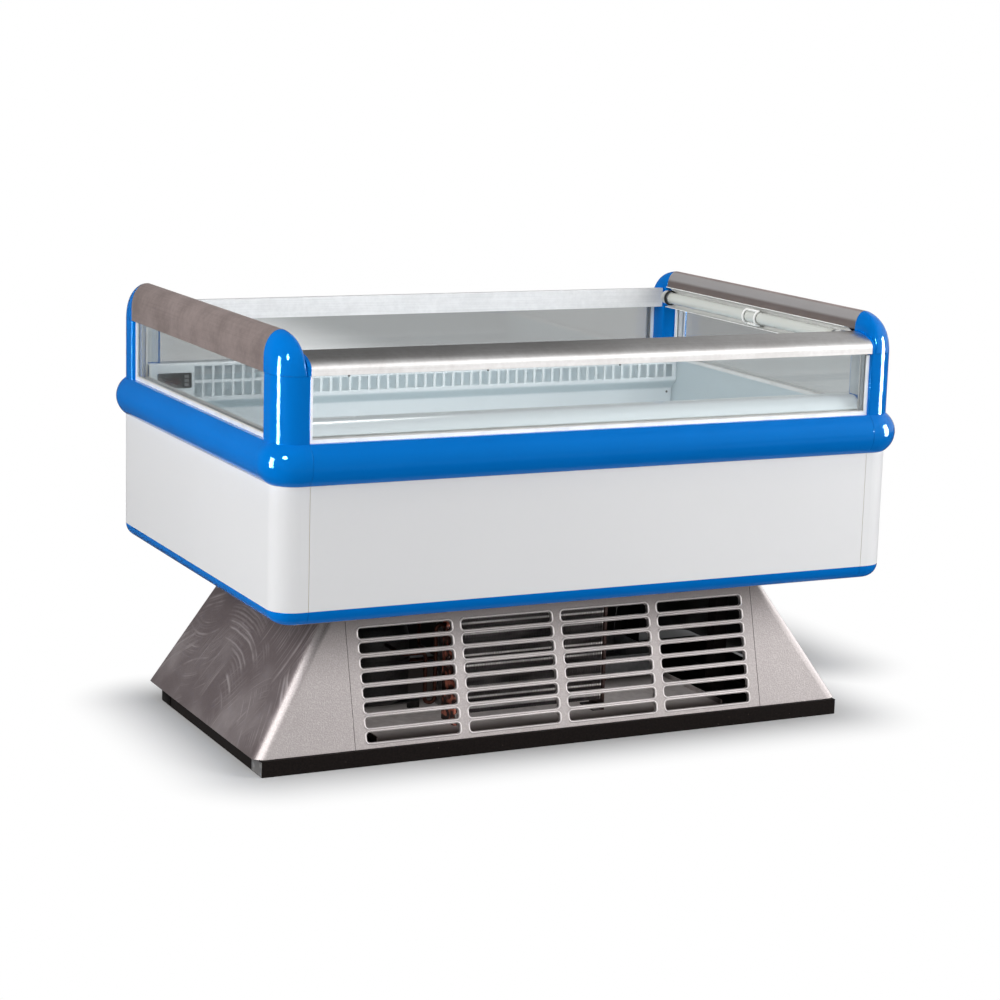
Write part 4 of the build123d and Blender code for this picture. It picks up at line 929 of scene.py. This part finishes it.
def makeLampTrough():
    low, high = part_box("lamp_trough")
    tubeLow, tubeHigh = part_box("lamp_tube")
    axis = Vector(((tubeLow.x + tubeHigh.x) / 2, (low.y + high.y) / 2, (tubeLow.z + tubeHigh.z) / 2))
    radius = lampTrough["radius"]
    bm = bmesh.new()
    lying = Matrix.Translation(axis) @ Matrix.Rotation(math.radians(90), 4, "X")
    bmesh.ops.create_cone(
        bm, cap_ends=False, segments=64, radius1=radius, radius2=radius, depth=high.y - low.y, matrix=lying
    )
    everything = bm.verts[:] + bm.edges[:] + bm.faces[:]
    bmesh.ops.bisect_plane(bm, geom=everything, plane_co=axis, plane_no=(1, 0, 0), clear_inner=True)
    bmesh.ops.recalc_face_normals(bm, faces=bm.faces)
    bmesh.ops.solidify(bm, geom=bm.faces[:], thickness=-lampTrough["sheet"])
    addBlock(
        bm,
        (axis.x + radius, low.y, axis.z - lampTrough["sheet"] / 2),
        (high.x, high.y, axis.z + lampTrough["sheet"] / 2),
        lampTrough["softness"],
    )
    middle = axis + Vector((0, lampTrough["clipShift"], 0))
    sweep = math.radians(lampTrough["arc"][0] - lampTrough["arc"][1])
    spots = {}
    for side in (-1, 1):
        centre = middle + Vector((0, side * lampTrough["clipHalf"], 0))
        for place, degrees in enumerate(lampTrough["arc"]):
            turn = math.radians(degrees)
            reach = Vector((math.cos(turn), 0, math.sin(turn)))
            spots[side, place] = centre + lampTrough["clipRadius"] * reach
        facing = (spots[side, 0] - centre).normalized()
        level = Vector((0, 1, 0))
        across = Matrix((level, facing, level.cross(facing))).transposed().to_4x4()
        ring = bmesh.ops.create_circle(
            bm, segments=16, radius=lampTrough["wire"], matrix=Matrix.Translation(spots[side, 0]) @ across
        )
        bmesh.ops.spin(
            bm, geom=ring["verts"] + edgesOf(ring["verts"]), cent=centre, axis=level, angle=sweep,
            steps=28, use_merge=False,
        )
    for place in (0, 1):
        addWire(bm, spots[-1, place], spots[1, place], lampTrough["wire"])
        for side in (-1, 1):
            bmesh.ops.create_uvsphere(
                bm, u_segments=16, v_segments=10, radius=lampTrough["wire"],
                matrix=Matrix.Translation(spots[side, place]),
            )
    addBlock(
        bm,
        (axis.x + lampTrough["clipRadius"], middle.y - lampTrough["clipHalf"], axis.z - lampTrough["stem"]),
        (axis.x + radius, middle.y + lampTrough["clipHalf"], axis.z + lampTrough["stem"]),
    )
    piece = addPiece("lamp_trough_wired", bm, finishes["lamp_white"])
    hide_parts("lamp_trough")
    return piece


makeLampTrough()

# Black spring ring where the tube meets its rear holder
holderRing = {"radius": 0.0157, "wire": 0.0021, "setBack": 0.006, "arc": 300.0, "start": -20.0}


def makeHolderRing():
    low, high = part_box("lamp_tube")
    centre = (low + high) / 2
    bm = bmesh.new()
    middle = Vector((centre.x, high.y - lampCap["pinLength"] - holderRing["setBack"], centre.z))
    start = Matrix.Rotation(math.radians(holderRing["start"]), 4, "Y")
    ring = bmesh.ops.create_circle(
        bm, segments=14, radius=holderRing["wire"], cap_ends=True,
        matrix=Matrix.Translation(middle) @ start @ Matrix.Translation((holderRing["radius"], 0, 0)),
    )
    bmesh.ops.spin(
        bm, geom=ring["verts"] + edgesOf(ring["verts"]), cent=middle, axis=(0, 1, 0),
        angle=math.radians(-holderRing["arc"]), steps=40, use_merge=False,
    )
    return addPiece("lampholder_ring", bm, finishes["black_plastic"])


makeHolderRing()
print("lamp dressed")

# Sealing beads between the glass and the channels
sealBead = {"width": 0.0016, "height": 0.0022, "channel": 0.007, "softness": 0.0006}


def makeSealBeads():
    width, softness = sealBead["width"], sealBead["softness"]
    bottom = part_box("glazing_channels")[0].z + sealBead["channel"]
    top = bottom + sealBead["height"]
    bm = bmesh.new()
    for side in ("front", "rear", "left", "right"):
        low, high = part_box(side + "_glass")
        if side in ("front", "rear"):
            for y in (low.y - width, high.y):
                addBlock(bm, (low.x, y, bottom), (high.x, y + width, top), softness)
        else:
            for x in (low.x - width, high.x):
                addBlock(bm, (x, low.y, bottom), (x + width, high.y, top), softness)
    return addPiece("glazing_seal_beads", bm, finishes["seal"])


makeSealBeads()
print("glazing sealed")

# Linings on the posts, inside the glass
postLining = {
    "thickness": 0.0012,
    "softness": 0.0004,
    "glassGap": 0.004,
    "edge": 0.0055,  # what stays bare at the post's free edge, its foot and its head
    "foot": 0.002,
    "head": 0.001,
}


def makePostLinings():
    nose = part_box("front_duct_cover")[1].z
    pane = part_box("front_glass")[1].y
    bm = bmesh.new()
    for side in ("left", "right"):
        low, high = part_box("front_" + side + "_post")
        near = high.x if side == "left" else low.x - postLining["thickness"]
        addBlock(
            bm,
            (near, pane + postLining["glassGap"], nose + postLining["foot"]),
            (near + postLining["thickness"], high.y - postLining["edge"], high.z - postLining["head"]),
            postLining["softness"],
        )
    low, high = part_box("rear_left_post")
    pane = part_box("left_glass")[1].x
    addBlock(
        bm,
        (pane + postLining["glassGap"], low.y - postLining["thickness"], nose + postLining["foot"]),
        (high.x - postLining["edge"], low.y, high.z - postLining["head"]),
        postLining["softness"],
    )
    return addPiece("post_linings", bm, finishes["pale_sheet"])


makePostLinings()
print("posts lined")

# Stage: floor, world, lamps, camera
studio = {
    "ambient": 0.36,
    "throughGlass": 0.40,  # the grey cloth behind the glazing
    "throughLeft": 0.92,  # and behind the left glass
    "front": 1.10,
    "frontRight": 2.7,
    "high": 0.75,  # the room's front above the lamps
    "back": 0.12,
    "backRight": 0.62,
    "frontTurn": (-0.45, 0.6),  # the directions over which it turns from back to front, and so on
    "rightTurn": (0.33, 0.66),
    "backTurn": (0.45, 0.57),
    "highTurn": (0.60, 0.86),
}
floorStage = {
    "half": 9.0,
    "colour": (0.70, 0.70, 0.70),
    # painted shadow colour under and behind the base
    "dark": (0.05, 0.05, 0.05),
    "shades": [  # middle and reach of the foot, and of the shade behind it
        ((0.0, -0.04), (0.63, 0.28)),
        ((0.325, 0.325), (0.525, 0.275)),
    ],
    "paintedShadows": [  # painted shadows under and behind the base: middle, reach, soft edge and share of the dark colour
        ((0.0, -0.04), (0.57, 0.22), 0.08, 1.0),
        ((0.36, 0.36), (0.30, 0.10), 0.34, 0.94),
    ],
    "fade": 0.24,
    "back": 0.08,  # the floor as gloss shows it: under and behind, ahead, and further off
    "ahead": 1.5,
    "far": 0.7,
    "aheadTurn": (1.0, 2.2),
    "farTurn": (3.15, 3.9),
    "leftTurn": (1.5, 2.2),  # where the cloth behind the left glass turns darker
}


def away(spot, middle, reach):  # how far a place on the floor is from a box on it
    sides = []
    for axis, centre, half in zip("XY", middle, reach):
        sides.append((abs(spot.along(axis) - centre) - half).most(0.0))
    corner = spot.node("ShaderNodeCombineXYZ", {}, {0: sides[0], 1: sides[1]})
    return spot.vectors("LENGTH", {0: corner})


def makeFloor():
    material, paint = startFinish("pale_floor")
    spot = paint.place()
    foot, rear = (away(spot, *shade) for shade in floorStage["shades"])
    fade = foot.least(rear).between(0.0, floorStage["fade"])
    # painted shadows under and behind the base
    paintedShadows = []
    for middle, reach, edge, share in floorStage["paintedShadows"]:
        paintedShadows.append((1.0 - away(spot, middle, reach).between(0.0, edge)) * share)
    under = paintedShadows[0].most(paintedShadows[1])
    glossy = paint.ray("Is Glossy Ray")
    seen = paint.ray("Is Camera Ray").most(glossy).most(paint.ray("Is Transmission Ray"))
    panes = paint.ray("Transparent Depth").least(1.0)
    back, ahead, far = (floorStage[name] for name in ("back", "ahead", "far"))
    forward = -spot.along("Y")
    mirrored = forward.between(*floorStage["aheadTurn"]) * (ahead - back) + back
    mirrored = mirrored - forward.between(*floorStage["farTurn"]) * (ahead - far)
    across = spot.along("X").between(*floorStage["leftTurn"])
    behind = across * (studio["throughGlass"] - studio["throughLeft"]) + studio["throughLeft"]
    level = (1.0 - glossy) * (1.0 - panes * (1.0 - behind)) + glossy * mirrored
    cloth = paint.colours(under, floorStage["colour"], floorStage["dark"])
    matt = paint.node("ShaderNodeBsdfDiffuse", {}, {"Color": cloth})
    white = paint.node("ShaderNodeEmission", {}, {"Color": (1.0, 1.0, 1.0), "Strength": level})
    shader = paint.node("ShaderNodeMixShader", {}, {0: fade * seen, 1: matt, 2: white})
    paint.surface(shader)
    bm = bmesh.new()
    bmesh.ops.create_grid(bm, x_segments=1, y_segments=1, size=floorStage["half"])
    mesh = bpy.data.meshes.new("floor")
    bm.to_mesh(mesh)
    bm.free()
    mesh.materials.append(material)
    floor = bpy.data.objects.new("floor", mesh)
    bpy.context.scene.collection.objects.link(floor)


def makeWorld():
    world = bpy.data.worlds.new("studio")
    world.use_nodes = True
    world.node_tree.nodes.clear()
    bpy.context.scene.world = world
    sky = Shade(world.node_tree)
    glossy = sky.ray("Is Glossy Ray")
    seen = sky.ray("Is Camera Ray").most(sky.ray("Is Transmission Ray"))
    panes = sky.ray("Transparent Depth").least(1.0)
    direction = sky.node("ShaderNodeTexCoord", {}, {}, "Generated")
    side = direction.along("X")
    frontShare = (-direction.along("Y")).between(*studio["frontTurn"])
    front = side.between(*studio["rightTurn"]) * (studio["frontRight"] - studio["front"]) + studio["front"]
    front = front + direction.along("Z").between(*studio["highTurn"]) * (studio["high"] - front)
    back = side.between(*studio["backTurn"]) * (studio["backRight"] - studio["back"]) + studio["back"]
    room = frontShare * (front - back) + back
    white = 1.0 - panes * (1.0 - studio["throughGlass"])
    plain = (1.0 - seen) * (1.0 - glossy)
    level = seen * white + glossy * (1.0 - seen) * room + plain * studio["ambient"]
    light = sky.node("ShaderNodeBackground", {}, {"Color": (1.0, 1.0, 1.0), "Strength": level})
    sky.node("ShaderNodeOutputWorld", {}, {"Surface": light})


lamps = {  # each lights matt surfaces alone, unless its rays say gloss or both
    "key": {"place": (2.6, -2.2, 2.0), "aim": (0.0, 0.0, 0.5), "size": (1.4, 1.4), "power": 61.0},
    "overhead": {"place": (0.4, -0.4, 3.0), "aim": (0.2, -0.1, 0.5), "size": (2.2, 2.2), "power": 28.0},
    "leftFill": {
        "place": (-3.2, -0.6, 1.8), "aim": (0.0, 0.0, 0.5), "size": (1.6, 1.6), "power": 58.0,
        "only": ["white_paint", "blue_gloss", "rail_steel", "base_grey", "plinth_black", "white_channel"],
        "pieces": ["floor", "front_tube_plugs", "glazing_seal_beads"],
    },
    "wellFill": {  # comes in through the front glass
        "place": (-0.1, -3.5, 1.4), "aim": (0.0, 0.0, 0.65), "size": (1.6, 1.2), "power": 46.0,
        "only": ["pale_sheet", "white_channel", "spacer"],
    },
    "grilleFill": {  # reaches the machine through the slots
        "place": (-1.5, -3.2, 0.75), "aim": (0.0, -0.2, 0.15), "size": (0.5, 0.3), "power": 92.0,
        "rays": "both", "only": ["fins"],
    },
    "trayFill": {
        "place": (0.3, -2.6, 1.3), "aim": (0.0, -0.1, 0.1), "size": (0.6, 0.4), "power": 32.0,
        "pieces": ["machine_tray"], "clear": True,
    },
    "slotFill": {  # on the liner behind the duct slots
        "place": (0.1, -1.2, 0.90), "aim": (0.05, 0.43, 0.66), "size": (0.4, 0.3), "power": 5.5,
        "pieces": ["liner_tub"], "clear": True,
    },
    "panelFill": {
        "place": (-0.2, -1.7, 0.85), "aim": (0.0, 0.40, 0.60), "size": (1.2, 0.3), "power": 10.0,
        "pieces": ["rear_duct_cover"], "clear": True,
    },
    "noseFill": {  # level, on the face of the front duct cover
        "place": (-0.1, -3.0, 0.75), "aim": (0.0, -0.4, 0.69), "size": (1.4, 0.2), "power": 12.0,
        "pieces": ["front_duct_cover"], "clear": True,
    },
    "railFill": {
        "place": (-0.3, -2.4, 1.3), "aim": (0.0, 0.42, 0.80), "size": (1.4, 0.4), "power": 14.0,
        "pieces": ["rear_rail"], "clear": True,
    },
    "leftStrip": {  # the long glints on the posts and bumpers
        "place": (-3.65, -0.42, 0.95), "aim": (-0.6, -0.45, 0.95), "size": (0.8, 2.1), "power": 1500.0,
        "rays": "gloss", "only": ["blue_gloss"],
    },
    "rightStrip": {
        "place": (3.3, -1.8, 0.95), "aim": (0.6, -0.45, 0.95), "size": (1.0, 2.1), "power": 960.0,
        "rays": "gloss", "only": ["blue_gloss"],
    },
    "spot": {
        "place": (-3.1, -2.6, 2.9), "aim": (-0.6, -0.45, 0.7), "size": (0.9, 0.9), "power": 1500.0,
        "rays": "gloss", "shape": "DISK", "only": ["blue_gloss"],
    },
    "blueFill": {
        "place": (-3.0, -1.6, 1.3), "aim": (0.0, 0.0, 0.6), "size": (1.6, 1.6), "power": 24.0,
        "only": ["blue_gloss"],
    },
    "lampFill": {  # into the lamp's trough
        "place": (-2.4, -0.8, 1.5), "aim": (0.6, 0.0, 0.78), "size": (1.0, 1.0), "power": 70.0,
        "only": ["lamp_glass"], "pieces": ["lamp_trough_wired"],
    },
    "rimGlint": {  # on the upper side of each grille lip
        "place": (1.1, -0.9, 1.9), "aim": (0.0, -0.31, 0.15), "size": (0.8, 0.8), "power": 14.0,
        "rays": "gloss", "pieces": ["front_grille_lips"], "clear": True,
    },
    "glint": {  # on the far edge of the front duct cover
        "place": (0.2, 0.4, 2.6), "aim": (-0.5, -0.37, 0.69), "size": (0.22, 0.6), "power": 25.0,
        "rays": "gloss", "only": ["pale_sheet"],
    },
    "rearFill": {  # for the sides that the photograph hides
        "place": (0.3, 3.2, 0.5), "aim": (0.0, 0.4, 0.45), "size": (1.8, 0.8), "power": 46.0,
        "only": ["white_paint", "blue_gloss", "base_grey", "plinth_black"],
    },
    "leftBend": {  # sheen on the bends of the base shells
        "place": (-1.76, -0.76, 1.34), "aim": (-0.62, -0.3, 0.15), "size": (2.3, 3.4), "power": 68.0,
        "rays": "gloss", "only": ["base_grey"], "clear": True,
    },
    "rightBend": {
        "place": (2.19, 0.33, 0.35), "aim": (0.62, -0.3, 0.15), "size": (1.8, 1.4), "power": 17.0,
        "rays": "gloss", "only": ["base_grey"], "clear": True,
    },
}


def makeLamp(name, values):
    light = bpy.data.lights.new(name, "AREA")
    light.shape = values.get("shape", "RECTANGLE")
    light.size = values["size"][0]
    light.size_y = values["size"][1]
    light.energy = values["power"]
    lamp = bpy.data.objects.new(name, light)
    lamp.location = values["place"]
    aim = Vector(values["aim"]) - Vector(values["place"])
    lamp.rotation_euler = aim.to_track_quat("-Z", "Y").to_euler()
    lamp.visible_camera = False
    rays = values.get("rays", "matt")
    lamp.visible_diffuse = rays != "gloss"
    lamp.visible_glossy = rays != "matt"
    if "only" in values or "pieces" in values:  # the slots and pieces that this lamp lights
        lit = bpy.data.collections.new(name + "_lit")
        for subpart in frame["record"]["subparts"]:
            if subpart["material_slot"] in values.get("only", []):
                lit.objects.link(nodes[subpart["node"]])
        for piece in values.get("pieces", []):
            lit.objects.link(nodes[piece] if piece in nodes else bpy.data.objects[piece])
        lamp.light_linking.receiver_collection = lit
        if values.get("clear"):  # nothing else stands in its way
            lamp.light_linking.blocker_collection = lit
    bpy.context.scene.collection.objects.link(lamp)


cameraView = {
    "place": (-2.3364, -4.7260, 1.4639),
    "azimuth": 26.395,
    "pitch": 10.991,
    "roll": 1.678,
    "lens": 91.64,
    "sensor": 36.0,
}


def makeCamera():
    azimuth = math.radians(cameraView["azimuth"])
    pitch = math.radians(cameraView["pitch"])
    roll = math.radians(cameraView["roll"])
    ahead = Vector((
        math.sin(azimuth) * math.cos(pitch),
        math.cos(azimuth) * math.cos(pitch),
        -math.sin(pitch),
    ))
    level = ahead.cross(Vector((0, 0, 1))).normalized()
    upright = level.cross(ahead)
    right = math.cos(roll) * level + math.sin(roll) * upright
    up = math.cos(roll) * upright - math.sin(roll) * level
    data = bpy.data.cameras.new("camera")
    data.lens = cameraView["lens"]
    data.sensor_width = cameraView["sensor"]
    camera = bpy.data.objects.new("camera", data)
    place = Matrix((right, up, -ahead)).transposed().to_4x4()
    place.translation = cameraView["place"]
    camera.matrix_world = place
    bpy.context.scene.collection.objects.link(camera)
    bpy.context.scene.camera = camera


makeFloor()
makeWorld()
for lampName, lampValues in lamps.items():
    makeLamp(lampName, lampValues)
makeCamera()
bpy.context.scene.view_settings.view_transform = "Standard"
bpy.context.scene.cycles.transparent_max_bounces = 24  # two glazed sides hold sixteen faces
print("stage set")
